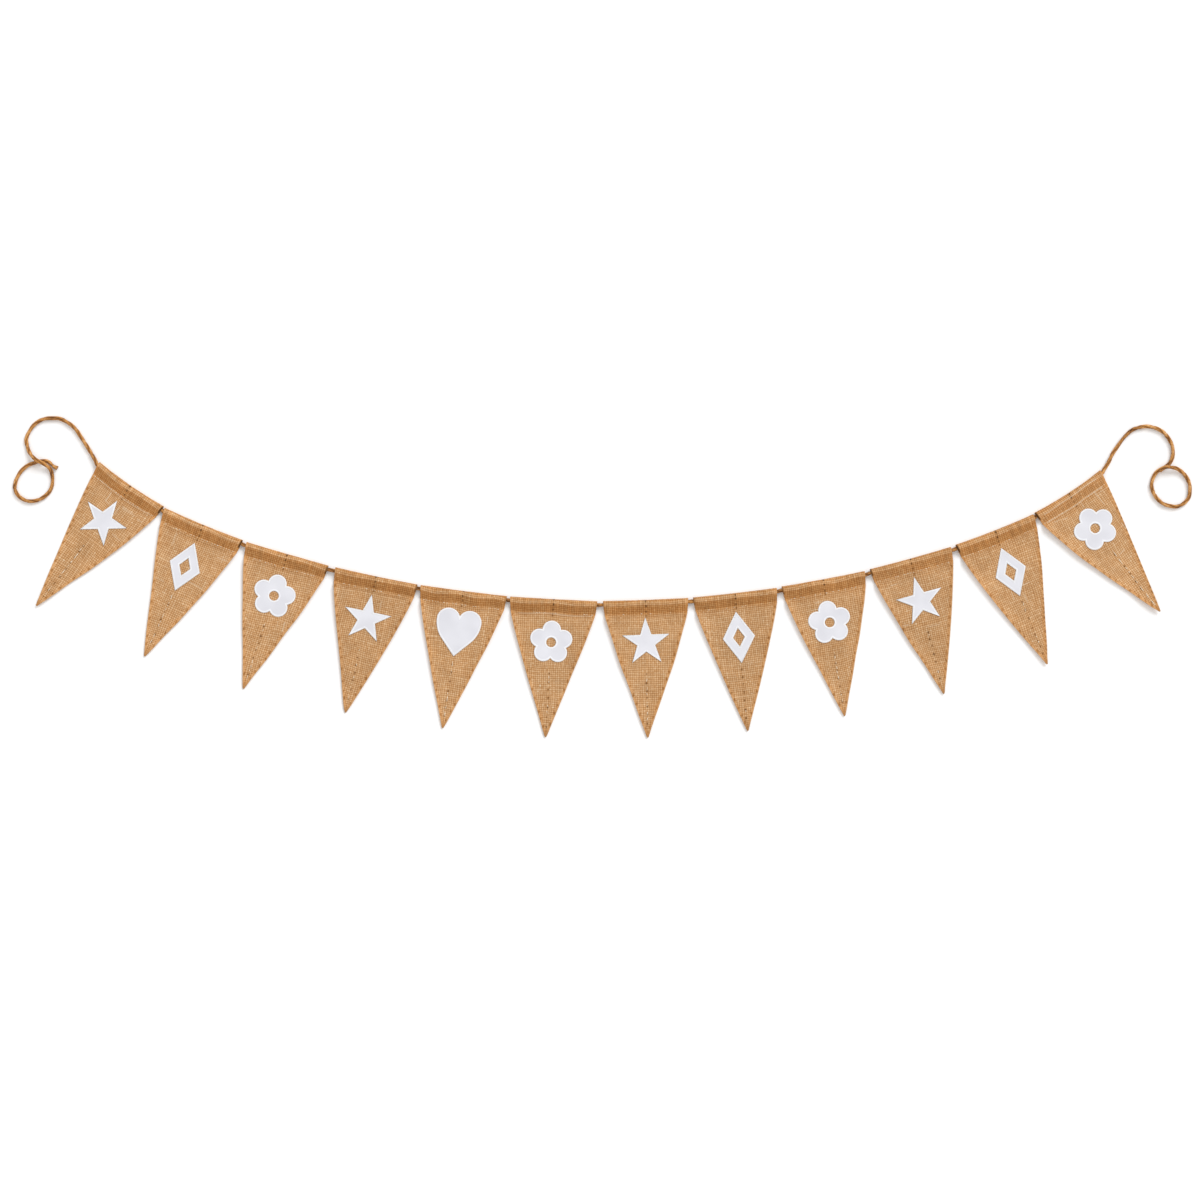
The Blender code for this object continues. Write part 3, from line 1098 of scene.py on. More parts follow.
    def spread_rows(self, step: int, front: bool, points: list, spots: list) -> Layer:
        """Lay the points of one face of the cloth and join them.

        Args:
            step: take each point of the weave, or only each third.
            front: whether it is the outer face.
            points: place of each point so far; the new ones are added.
            spots: what is known of each point so far; the new ones are added.

        Returns:
            The layer.
        """
        weave, relief = self.weave, self.relief
        rows: list[list[int]] = []
        spans: list[tuple[int, int]] = []
        numbers = np.arange(0, len(weave.columns), step)
        shares = np.arange(len(weave.columns)) / weave.samples
        margin = self.margin * step * weave.pitch / weave.samples
        for row in range(0, len(weave.rows), step):
            s = float(weave.rows[row])
            v = float(np.interp(s, self.table_s, self.table_v))
            left, right = self.side_limits(v)
            left, right = left + self.trim[0], right - self.trim[1]
            u = weave.columns[numbers] + weave.drifted(weave.columns[numbers], s, 0)
            kept = np.flatnonzero((u > left + margin) & (u < right - margin))
            kept_u = np.concatenate([[left], u[kept], [right]])
            kept_s = s + weave.drifted(kept_u, s, 1)
            inside = np.minimum(kept_u - left, right - kept_u)
            if front:
                columns = np.concatenate([[-1], numbers[kept], [-1]])
                out = self.fold.middle + relief.crest - self.under_crests(columns, row, inside)
                out += relief.fold_swell * window(v, fall=(0.0, relief.swell_end))
                out[[0, -1]] = self.fold.middle + relief.rim
            else:
                out = np.full(len(kept_u), relief.back - self.fold.middle)
                out[[0, -1]] = relief.back_rim - self.fold.middle
            start = len(points)
            points.extend(self.place(kept_u, kept_s, out))
            warp = np.interp(kept_u - weave.drifted(kept_u, s, 0), weave.columns, shares)
            same = np.ones(len(kept_u))
            spots.extend(np.stack([kept_u, kept_s, warp + self.warp_shift * self.index,
                                   (row / weave.samples + self.weft_shift * self.index) * same,
                                   inside, v * same], axis=1))
            rows.append(list(range(start, len(points))))
            spans.append((int(kept[0]), int(kept[-1])) if len(kept) else (1, 0))
        faces = join_rows(rows, spans)
        return Layer(rows, faces if front else [face[::-1] for face in faces])

    def rims(self, outer: Layer, inner: Layer, ways: np.ndarray) -> list[Face]:
        """Close the cloth along its cut sides and its two raw ends.

        Args:
            outer: the outer face.
            inner: the inner face, with each third row.
            ways: the u of each point.

        Returns:
            The faces of the rims.
        """
        step = self.weave.samples
        faces: list[Face] = []
        for number, (upper, lower) in enumerate(zip(inner.rows, inner.rows[1:])):
            fine = outer.rows[number * step:(number + 1) * step + 1]
            left = [row[0] for row in fine]
            right = [row[-1] for row in fine]
            faces.append(tuple([left[0], upper[0], lower[0]] + left[:0:-1]))
            faces.append(tuple(right + [lower[-1], upper[-1]]))
        faces += bridge(outer.rows[0], inner.rows[0], ways, False)
        faces += bridge(outer.rows[-1], inner.rows[-1], ways, True)
        return faces

    def cloud(self, spots: Spots, rng: np.random.Generator, size: float, reach: Range) -> np.ndarray:
        """Draw a pattern of soft waves over the cloth.

        Args:
            spots: the cloth's points.
            rng: where the waves are drawn from.
            size: the height of each wave.
            reach: the shortest waves across and along the cloth, in millimetres.

        Returns:
            The pattern at each point.
        """
        total = np.zeros(len(spots.u))
        for _ in range(self.wear_and_shade.cloud_waves):
            across, along = rng.uniform(-1, 1, 2) / reach
            total += size * np.sin(ROUND * (spots.u * across + spots.s * along) + rng.uniform(0, ROUND))
        return total

    def tones(self, spots: Spots) -> tuple[np.ndarray, np.ndarray]:
        """Work out how light the cloth is at each point, and how deep its colour is.

        Args:
            spots: the cloth's points.

        Returns:
            The tones, about 1 on the plain cloth, and the depths from 0 to 1.
        """
        wear_and_shade, hem = self.wear_and_shade, self.fold.hem
        rng = np.random.default_rng(TONE_SEED + self.index)
        front = spots.s > self.front_s
        before, after = wear_and_shade.slope_ends
        tone = np.full(len(spots.u), self.warmth)
        for size, reach in wear_and_shade.clouds:
            tone += self.cloud(spots, rng, size, reach)
        sleeve = front * window(spots.v, fall=(hem - before, hem + before))
        tone += sleeve * self.cloud(spots, rng, *wear_and_shade.sleeve_cloud)
        # The sleeve's bands: painted light on the roll, painted shade with a deeper colour on the slope
        tone *= np.where(front, np.interp(spots.v, wear_and_shade.band_v, wear_and_shade.band_light_and_shade), 1.0)
        depth = np.where(front, np.interp(spots.v, wear_and_shade.band_v, wear_and_shade.band_shade_depth), wear_and_shade.back_depth)
        # Each pennant's sleeve and deep factors scale the slope's painted shade
        slope = front * window(spots.v, wear_and_shade.slope_rise, (hem - before, hem + after))
        tone *= 1.0 + (self.sleeve - 1.0) * slope
        depth *= 1.0 + (self.deep - 1.0) * slope
        for shade in self.shades(spots, front, rng):
            tone *= 1.0 + shade.lighter * shade.share
            depth += shade.deeper * shade.share
        return np.clip(tone, *wear_and_shade.tone_limits), np.clip(depth, *UNIT)

    def shades(self, spots: Spots, front: np.ndarray, rng: np.random.Generator) -> list[Shade]:
        """Work out the darker and lighter places: the darker tip, painted light and shade on the rolled
        sides, the dark marks, and painted shade in the sleeve's mouth.

        Args:
            spots: the cloth's points.
            front: which of them are on the front.
            rng: where the marks are drawn from.

        Returns:
            The shades.
        """
        wear_and_shade = self.wear_and_shade
        below = spots.v > self.fold.hem
        lit = self.lean > 0
        # Rolled sides: painted light where the pennant leans towards the lamp, painted shade on the others,
        # in a deeper colour
        rolled = window(spots.inside, wear_and_shade.roll_rise, wear_and_shade.roll_fall) * below
        deeper = np.where((spots.u > 0) & (not lit), wear_and_shade.roll_colour_and_shade_depths[1], wear_and_shade.roll_colour_and_shade_depths[0])
        tip = window(spots.v, (self.drop - wear_and_shade.tip_ends[0], self.drop - wear_and_shade.tip_ends[1]))
        shades = [
            Shade(tip, *wear_and_shade.tip_shade),
            Shade(rolled, wear_and_shade.roll_light_and_shade[0 if lit else 1], deeper),
            Shade(window(spots.inside, fall=wear_and_shade.rim_fall) * below, wear_and_shade.rim_tone, 0.0)]
        for mark in self.holes(rng):
            squeeze = wear_and_shade.mark_squeeze[1 if mark.dark > wear_and_shade.bold_mark else 0]
            near = np.hypot(spots.u - mark.u, (spots.v - mark.v) * squeeze) / mark.size
            shades.append(Shade(window(near, fall=wear_and_shade.mark_fall) * front, -mark.dark, wear_and_shade.mark_depth))
        # Painted shade in the sleeve's open mouth, darker and deeper the more the pennant leans
        mouth = front * (spots.u > 0 if lit else spots.u < 0) * window(spots.inside, fall=wear_and_shade.mouth_shade_fall)
        mouth = mouth * window(spots.v, wear_and_shade.mouth_shade_rise_v, wear_and_shade.mouth_shade_fall_v)
        dark = min(wear_and_shade.mouth_shade_most, wear_and_shade.mouth_shade_least + abs(self.lean) / wear_and_shade.mouth_shade_lean)
        return shades + [Shade(mouth, -dark, dark)]

    def pulls(self, spots: Spots) -> np.ndarray:
        """Work out how much of a pale pulled yarn runs through each point.

        Args:
            spots: the cloth's points.

        Returns:
            The shares.
        """
        wear_and_shade, u, v = self.wear_and_shade, spots.u, spots.v
        rng = np.random.default_rng(PULL_SEED + self.index)
        lines = list(PULLED.get(self.index, ()))
        for _ in range(round(abs(self.lean) / wear_and_shade.pull_lean)):
            u0, v0 = rng.uniform(*wear_and_shade.pull_u), rng.uniform(*wear_and_shade.pull_v)
            size = rng.uniform(*wear_and_shade.pull_long)
            across = rng.uniform() < wear_and_shade.pull_across
            du, dv = (size, wear_and_shade.pull_slant) if across else (wear_and_shade.pull_slant, size)
            lines.append((u0, v0, u0 + du, v0 + dv, rng.uniform(*wear_and_shade.pull_pale)))
        share = np.zeros(len(u))
        for u0, v0, u1, v1, strength in lines:
            du, dv = u1 - u0, v1 - v0
            way = np.clip(((u - u0) * du + (v - v0) * dv) / (du ** 2 + dv ** 2), *UNIT)
            far = np.hypot(u - u0 - way * du, v - v0 - way * dv)
            share = np.maximum(share, window(far, fall=wear_and_shade.pull_fall) * strength)
        return share * (spots.s > self.front_s)

    def holes(self, rng: np.random.Generator) -> list[Mark]:
        """Draw the dark marks on the middle line and along the sides.

        Args:
            rng: where they are drawn from.

        Returns:
            The marks.
        """
        wear_and_shade, dots = self.wear_and_shade, self.wear_and_shade.middle_dots
        across, along = wear_and_shade.head_jitter
        found = [Mark(rng.normal(0.0, across), v + rng.normal(0.0, along), wear_and_shade.head_size,
                      dark * rng.uniform(*wear_and_shade.head_strength)) for v, dark in wear_and_shade.head_marks]
        v = self.motif_v + rng.uniform(*dots.start)
        while v < self.drop - dots.end:
            found.append(Mark(self.middle_u(v) + rng.normal(*dots.aside), v, rng.uniform(*dots.size),
                              rng.uniform(*dots.dark)))
            v += rng.uniform(*dots.step)
        for side, raised in enumerate((self.up_left, self.up_right)):
            dots = wear_and_shade.flat_dots if raised < wear_and_shade.flat_side else wear_and_shade.raised_dots
            v = self.fold.hem + rng.uniform(*dots.start)
            while v < self.drop - dots.end:
                aside, dark = rng.uniform(*dots.aside), rng.uniform(*dots.dark)
                u = self.side_limits(v)[side] + (-aside if side else aside)
                found.append(Mark(u, v, rng.uniform(*dots.size), dark))
                v += rng.uniform(*dots.step)
        return found

    def middle_u(self, v: float) -> float:
        """Return the u of the middle line at a depth."""
        return self.tip * v / self.drop

    def flat_area(self) -> float:
        """Return the flat area that the pennant is cut to, in square metres."""
        wide = np.array([np.diff(self.side_limits(float(v)))[0] for v in self.table_v])
        return float(((wide[1:] + wide[:-1]) / 2 * np.diff(self.table_s)).sum()) * MM * MM

    def build(self, finish: bpy.types.Material) -> bpy.types.Object:
        """Make the woven cloth and dress it.

        Args:
            finish: the burlap.

        Returns:
            The piece.
        """
        points: list = []
        table: list = []
        outer = self.spread_rows(1, True, points, table)
        fronts = len(points)
        inner = self.spread_rows(self.weave.samples, False, points, table)
        spots = Spots(*np.array(table).T)
        faces = outer.faces + inner.faces
        rims = self.rims(outer, inner, spots.u)
        item = make_object(f"burlap_{self.index:02d}", points, faces + rims, finish)
        mesh = item.data
        corners = corner_points(mesh)
        add_map(mesh, "weave", np.stack([spots.warp, spots.weft], axis=1)[corners])
        bake = np.stack([spots.u + BAKE_MIDDLE, spots.s + BAKE_MARGIN], axis=1) / BAKE_SHEET
        rim = bake.copy()
        rim[fronts:, 0] += np.sign(spots.u[fronts:]) * BAKE_RIM / BAKE_SHEET
        bake[fronts:, 0] += 0.5
        chosen = bake[corners]
        rim_start = sum(len(face) for face in faces)
        chosen[rim_start:] = rim[corners[rim_start:]]
        add_map(mesh, "OFBake", chosen)
        below, above = self.wear_and_shade.border_ends
        border = window(spots.inside, fall=(self.border - below, self.border + above))
        for name, values in zip(("tone", "depth", "pull", "border"),
                                (*self.tones(spots), self.pulls(spots), border)):
            add_values(mesh, name, values)
        return item


def join_rows(rows: list[list[int]], spans: list[tuple[int, int]]) -> list[Face]:
    """Join rows of points where each has the same columns, and close the steps at both sides.

    Args:
        rows: the points of each row.
        spans: first and last column of each row between its two side points.

    Returns:
        The faces.
    """
    faces: list[Face] = []
    for upper, lower, above, below in zip(rows, rows[1:], spans, spans[1:]):
        low, high = max(above[0], below[0]), min(above[1], below[1])
        if above[1] < above[0] or below[1] < below[0] or low > high:
            faces.append(tuple(lower + upper[::-1]))
            continue
        first_up, first_down = 1 + low - above[0], 1 + low - below[0]
        last_up, last_down = 1 + high - above[0], 1 + high - below[0]
        faces.append(tuple(lower[:first_down + 1] + upper[:first_up + 1][::-1]))
        for up, down in zip(range(first_up, last_up), range(first_down, last_down)):
            faces.append((lower[down], lower[down + 1], upper[up + 1], upper[up]))
        faces.append(tuple(lower[last_down:] + upper[last_up:][::-1]))
    return faces


# --- Stitches -------------------------------------------------------------------------------------------


@dataclass
class Stitching:
    """The running stitches of one pennant: the hem's line and the line down its middle."""

    pennant: Pennant
    thick: float = 0.42
    thick_middle: float = 0.6
    sides: int = 6
    shares: tuple = (-1.0, -0.82, -0.4, 0.0, 0.4, 0.82, 1.0)
    thin_end: float = 0.04
    arch: Point = (0.12, 0.42)
    below_hem: float = 1.2
    hem_start: Range = (3.0, 4.0)
    hem_end: float = 5.0
    hem_stitch: Range = (1.62, 3.375)
    hem_gap: Range = (1.05, 2.4)
    hem_jitter: float = 0.2
    shown_least: float = 0.25
    shown_lean: float = 50.0
    middle_start: Range = (40.0, 45.0)
    middle_end: float = 20.0
    middle_stitch: Range = (2.0, 4.0)
    middle_longer: float = 9.0
    middle_gap: Range = (1.5, 5.5)
    middle_jitter: float = 0.4

    def stitch(self, start: Point, stop: Point, radius: float, points: list, faces: list[Face]) -> None:
        """Add one stitch that arches out of the cloth and dips in again.

        Args:
            start: u and v of its one end.
            stop: u and v of its other end.
            radius: half the thread's thickness.
            points: the points so far; the new ones are added.
            faces: the faces so far; the new ones are added.
        """
        flag, first = self.pennant, len(points)
        way = np.array(stop) - np.array(start)
        aside = np.array([-way[1], way[0]]) / np.hypot(*way)
        for share in self.shares:
            thick = radius * math.sqrt(max(1.0 - share ** 2, self.thin_end))
            at = np.array(start) + way * (share + 1) / 2
            high = flag.fold.middle + self.arch[0] - self.arch[1] * share ** 4
            for side in range(self.sides):
                out, up = turned(thick, ROUND * side / self.sides)
                u, v = at + aside * out
                points.extend(flag.place(np.array([u]), np.array([flag.s_at(v)]), np.array([high + up])))
        last = len(points) - self.sides
        for ring in range(first, last, self.sides):
            for side in range(self.sides):
                a, b = ring + side, ring + (side + 1) % self.sides
                faces.append((a, b, b + self.sides, a + self.sides))
        faces.append(tuple(range(first + self.sides - 1, first - 1, -1)))
        faces.append(tuple(range(last, last + self.sides)))

    def build(self, finish: bpy.types.Material) -> bpy.types.Object:
        """Sew the stitches of the pennant.

        Args:
            finish: the thread.

        Returns:
            The piece.
        """
        flag = self.pennant
        rng = np.random.default_rng(STITCH_SEED + flag.index)
        points: list = []
        faces: list[Face] = []
        v = flag.fold.hem + self.below_hem
        left, right = flag.side_limits(v)
        u = left + rng.uniform(*self.hem_start)
        shown = self.shown_least + abs(flag.lean) / self.shown_lean
        while u < right - self.hem_end:
            size = rng.uniform(*self.hem_stitch)
            up, down = rng.normal(0.0, self.hem_jitter, 2)
            if rng.uniform() < shown:
                self.stitch((u, v + up), (u + size, v + down), self.thick, points, faces)
            u += size + rng.uniform(*self.hem_gap)
        v = flag.motif_v + rng.uniform(*self.middle_start)
        shortest, longest = self.middle_stitch
        while v < flag.drop - self.middle_end:
            size = rng.uniform(shortest, longest + self.middle_longer * flag.dashes ** 2)
            if rng.uniform() < flag.dashes:
                start, stop = ((flag.middle_u(at) + rng.normal(0.0, self.middle_jitter), at)
                               for at in (v, v + size))
                self.stitch(start, stop, self.thick_middle, points, faces)
            v += size + rng.uniform(*self.middle_gap)
        return make_object(f"stitches_{flag.index:02d}", points, faces, finish)


# --- Appliques ------------------------------------------------------------------------------------------


def arc(middle: Point, radius: float, turns: Range, parts: int) -> Outline:
    """Return points on an arc.

    Args:
        middle: its middle.
        radius: its radius.
        turns: its first and its last turn from the X axis.
        parts: how many equal parts it has.

    Returns:
        The points, both ends included.
    """
    places = (turned(radius, turns[0] + (turns[1] - turns[0]) * step / parts) for step in range(parts + 1))
    return [(middle[0] + x, middle[1] + y) for x, y in places]


def inset(outline: Outline, distance: float, sharpest: float = 0.05) -> Outline:
    """Move the sides of an outline inwards.

    Args:
        outline: its points, counter-clockwise round the cloth, clockwise round a hole.
        distance: how far, in millimetres.
        sharpest: how sharp a corner may count, so that its point isn't moved too far.

    Returns:
        The moved points.
    """
    normals: list[Point] = []
    for (x0, y0), (x1, y1) in sides_of(outline):
        size = math.hypot(x1 - x0, y1 - y0)
        normals.append(((y1 - y0) / size, (x0 - x1) / size))
    moved: Outline = []
    for (x, y), (ax, ay), (bx, by) in zip(outline, normals[-1:] + normals[:-1], normals):
        scale = distance / max(1.0 + ax * bx + ay * by, sharpest)
        moved.append((x - (ax + bx) * scale, y - (ay + by) * scale))
    return moved


def within(x: float, y: float, outlines: list[Outline]) -> bool:
    """Say whether a point lies inside the outer outline and outside the holes.

    Args:
        x: its x.
        y: its y.
        outlines: the outlines.

    Returns:
        Whether an even-odd count puts it inside.
    """
    found = False
    for outline in outlines:
        for (x0, y0), (x1, y1) in sides_of(outline):
            if (y0 > y) != (y1 > y) and x < x0 + (x1 - x0) * (y - y0) / (y1 - y0):
                found = not found
    return found


@dataclass
class Applique:
    """One white satin motif, edged all round with satin stitch."""

    pennant: Pennant
    star_radius: float = 36.0
    star_points: int = 5
    lozenge: Point = (47.0, 75.0)
    lozenge_eye: float = 0.36
    petals: int = 5
    petal_radius: float = 13.5
    petal_reach: float = 18.0
    petal_parts: int = 18
    flower_eye: float = 7.0
    eye_parts: int = 40
    heart_tall: float = 69.0
    heart_lobe: float = 17.0
    heart_spread: float = 15.6
    heart_point: float = 42.5
    heart_turn: float = 1.7
    cheek_parts: int = 14
    lobe_parts: int = 36
    spacing: float = 3.6
    row_share: float = 0.87
    rim_share: float = 0.45
    net_reach: float = 43.2
    net_merge: float = 1e-5
    crown_height: float = 2.24
    crown_swell: float = 0.07
    crown_waves: tuple = ((0.21, 0.05, 1.7), (0.09, -0.17, 3.4))
    profile: tuple = (
        (0.35, 1.24, 1.0), (0.0, 1.5, 1.0), (0.0, 1.8, 1.0), (0.3, 2.16, 1.0), (0.8, 2.36, 1.0),
        (1.6, 2.38, 1.0), (2.2, 2.28, 0.9), (2.6, 2.17, 0.0), (3.4, 2.17, 0.0), (5.0, 2.22, 0.0))
    bake_sheet: Point = (170.0, 85.0)
    bake_middles: Point = (0.25, 0.75)
    bake_top: float = 2.4
    bake_spread: float = 0.02
    back_normal: float = -0.9

    def outlines(self) -> list[Outline]:
        """Return the motif's outline and that of its hole, if it has one."""
        makers = {Motif.STAR: self.star, Motif.LOZENGE: self.diamond, Motif.FLOWER: self.flower,
                  Motif.HEART: self.heart}
        return makers[self.pennant.motif]()

    def star(self) -> list[Outline]:
        """Return the outline of a star with straight sides."""
        half = math.pi / self.star_points
        inner = self.star_radius * math.cos(2 * half) / math.cos(half)
        return [[turned(inner if step % 2 else self.star_radius, math.pi / 2 + half * step)
                 for step in range(2 * self.star_points)]]

    def diamond(self) -> list[Outline]:
        """Return the outlines of a lozenge and of its open middle."""
        wide, tall = self.lozenge
        outer = [(0.0, tall / 2), (-wide / 2, 0.0), (0.0, -tall / 2), (wide / 2, 0.0)]
        return [outer, [(x * self.lozenge_eye, y * self.lozenge_eye) for x, y in outer[::-1]]]

    def flower(self) -> list[Outline]:
        """Draw a flower of round petals.

        Returns:
            Its outline and that of its open middle.
        """
        half = math.pi / self.petals
        meet = math.sqrt(self.petal_radius ** 2 - (self.petal_reach * math.sin(half)) ** 2)
        notch = self.petal_reach * math.cos(half) + meet
        swing = math.atan2(notch * math.sin(half), notch * math.cos(half) - self.petal_reach)
        outer: Outline = []
        for petal in range(self.petals):
            aim = math.pi / 2 + 2 * half * petal
            outer += arc(turned(self.petal_reach, aim), self.petal_radius, (aim - swing, aim + swing),
                         self.petal_parts)[:-1]
        return [outer, arc((0.0, 0.0), self.flower_eye, (0.0, -ROUND), self.eye_parts)[:-1]]

    def heart(self) -> list[Outline]:
        """Draw a heart: two round lobes, and full cheeks that run straight to the point.

        Returns:
            Its outline.
        """
        lobe_y = self.heart_tall / 2 - self.heart_lobe
        foot = -self.heart_tall / 2
        point, tilt = math.radians(self.heart_point), math.radians(self.heart_turn)
        widest = self.heart_spread + self.heart_lobe
        cheek = ((lobe_y - foot) * math.sin(point) - widest * math.cos(point)) / (1.0 - math.cos(point))
        dip = math.pi - math.acos(self.heart_spread / self.heart_lobe)
        right = [(0.0, foot)] + arc((widest - cheek, lobe_y), cheek, (-point, 0.0), self.cheek_parts)
        right += arc((self.heart_spread, lobe_y), self.heart_lobe, (0.0, dip), self.lobe_parts)[1:]
        outline = right + [(-x, y) for x, y in reversed(right[1:-1])]
        return [[(x * math.cos(tilt) + y * math.sin(tilt), y * math.cos(tilt) - x * math.sin(tilt))
                 for x, y in outline]]

    def flat_size(self) -> tuple[Point, float]:
        """Measure what the satin is cut to.

        Returns:
            Its width and height, in metres, and its area, in square metres.
        """
        outlines = self.outlines()
        area = sum((x0 * y1 - x1 * y0) / 2
                   for outline in outlines for (x0, y0), (x1, y1) in sides_of(outline))
        xs, ys = zip(*outlines[0])
        return ((max(xs) - min(xs)) * MM, (max(ys) - min(ys)) * MM), area * MM * MM

    def crown(self, x: float, y: float) -> float:
        """Return the height of the satin inside the border, which swells and ripples a little."""
        ripple = sum(math.sin(across * x + along * y + start * self.pennant.index)
                     for across, along, start in self.crown_waves)
        return self.crown_height + self.crown_swell * ripple

    def net(self, outlines: list[Outline]) -> Outline:
        """Spread points over the satin inside the border.

        Args:
            outlines: the border's inner outlines.

        Returns:
            The points.
        """
        inner = [inset(outline, self.spacing / 2) for outline in outlines]
        rim = np.array([place for outline in outlines for place in outline])
        reach = math.ceil(self.net_reach / self.spacing)
        found: Outline = []
        for row in range(-reach, reach + 1):
            for column in range(-reach, reach + 1):
                x, y = (column + 0.5 * (row % 2)) * self.spacing, row * self.spacing * self.row_share
                far = np.hypot(*(rim - (x, y)).T).min()
                if within(x, y, inner) and far > self.spacing * self.rim_share:
                    found.append((x, y))
        return found

    def fill(self, bm: bmesh.types.BMesh, rings: list, netted: bool) -> None:
        """Close the area between rings of points.

        Args:
            bm: the mesh.
            rings: the points of the outer ring and those of the hole's, if there is one.
            netted: whether points are added between them.
        """
        outlines = [[(vert.co.x, vert.co.y) for vert in ring] for ring in rings]
        verts = [vert for ring in rings for vert in ring]
        edges: list[Face] = []
        for ring in rings:
            first, count = len(edges), len(ring)
            edges += [(first + step, first + (step + 1) % count) for step in range(count)]
        if netted:
            verts += [bm.verts.new((x, y, self.crown(x, y))) for x, y in self.net(outlines)]
        places = [Vector(vert.co[:2]) for vert in verts]
        _, _, triangles, sources, _, _ = delaunay_2d_cdt(places, edges, [], 0, self.net_merge)
        for triangle in triangles:
            corners = [verts[sources[corner][0]] for corner in triangle]
            x, y = (sum(vert.co[axis] for vert in corners) / 3 for axis in (0, 1))
            if within(x, y, outlines):
                bm.faces.new(corners)

    def border(self, bm: bmesh.types.BMesh, outline: Outline) -> list:
        """Raise the padded border along one outline.

        Args:
            bm: the mesh, with its stitch map and its trim layer.
            outline: the outline.

        Returns:
            The border's rings of points, from its foot to its inner side.
        """
        stitch, trim = bm.loops.layers.uv["stitch"], bm.verts.layers.float["trim"]
        ways = ways_along(outline + outline[:1])
        rings = []
        for distance, height, share in self.profile:
            rings.append([bm.verts.new((x, y, height)) for x, y in inset(outline, distance)])
            for vert in rings[-1]:
                vert[trim] = share
        insets = [distance for distance, _, _ in self.profile]
        for low, high, outer, inner in zip(rings, rings[1:], insets, insets[1:]):
            for step in range(len(outline)):
                after = (step + 1) % len(outline)
                face = bm.faces.new((low[step], low[after], high[after], high[step]))
                for loop, way, distance in zip(face.loops, ways[[step, step + 1, step + 1, step]],
                                               (outer, outer, inner, inner)):
                    loop[stitch].uv = (way, distance)
        return rings

    def lay_out(self, bm: bmesh.types.BMesh) -> None:
        """Smooth the faces and lay them out for baking, the back beside the front.

        Args:
            bm: the mesh, with its bake map.
        """
        bake = bm.loops.layers.uv["OFBake"]
        wide, tall = self.bake_sheet
        for face in bm.faces:
            face.smooth = True
            middle = self.bake_middles[1 if face.normal.z < self.back_normal else 0]
            for loop in face.loops:
                x, y, z = loop.vert.co
                spread = 1.0 + self.bake_spread * (self.bake_top - z)
                loop[bake].uv = (middle + x * spread / wide, 0.5 + y * spread / tall)

    def build(self, finish: bpy.types.Material) -> bpy.types.Object:
        """Make the padded border, the satin inside it and its back.

        Args:
            finish: the satin.

        Returns:
            The piece.
        """
        flag = self.pennant
        bm = bmesh.new()
        for name in ("stitch", "OFBake"):
            bm.loops.layers.uv.new(name)
        bm.verts.layers.float.new("trim")
        borders = [self.border(bm, outline) for outline in self.outlines()]
        self.fill(bm, [rings[-1] for rings in borders], True)
        self.fill(bm, [rings[0] for rings in borders], False)
        bmesh.ops.recalc_face_normals(bm, faces=list(bm.faces))
        self.lay_out(bm)
        middle = flag.middle_u(flag.motif_v)
        for vert in bm.verts:
            x, y, z = vert.co
            vert.co = Vector((*flag.laid(middle + x, flag.motif_v - y), z)) * MM
        mesh = bpy.data.meshes.new(f"applique_{flag.index:02d}")
        bm.to_mesh(mesh)
        bm.free()
        mesh.materials.append(finish)
        return link_object(mesh.name, mesh)


# --- Cord -----------------------------------------------------------------------------------------------


@dataclass(frozen=True)
class Wave:
    """One wave along the cord, which may be shifted on the second ply."""

    size: float
    rate: float
    start: float = 0.0
    shift: float = 0.0

    def at(self, far: np.ndarray, ply: int) -> np.ndarray:
        """Return the wave's height at each way along the cord."""
        return self.size * np.sin(far * self.rate + self.start + self.shift * ply)


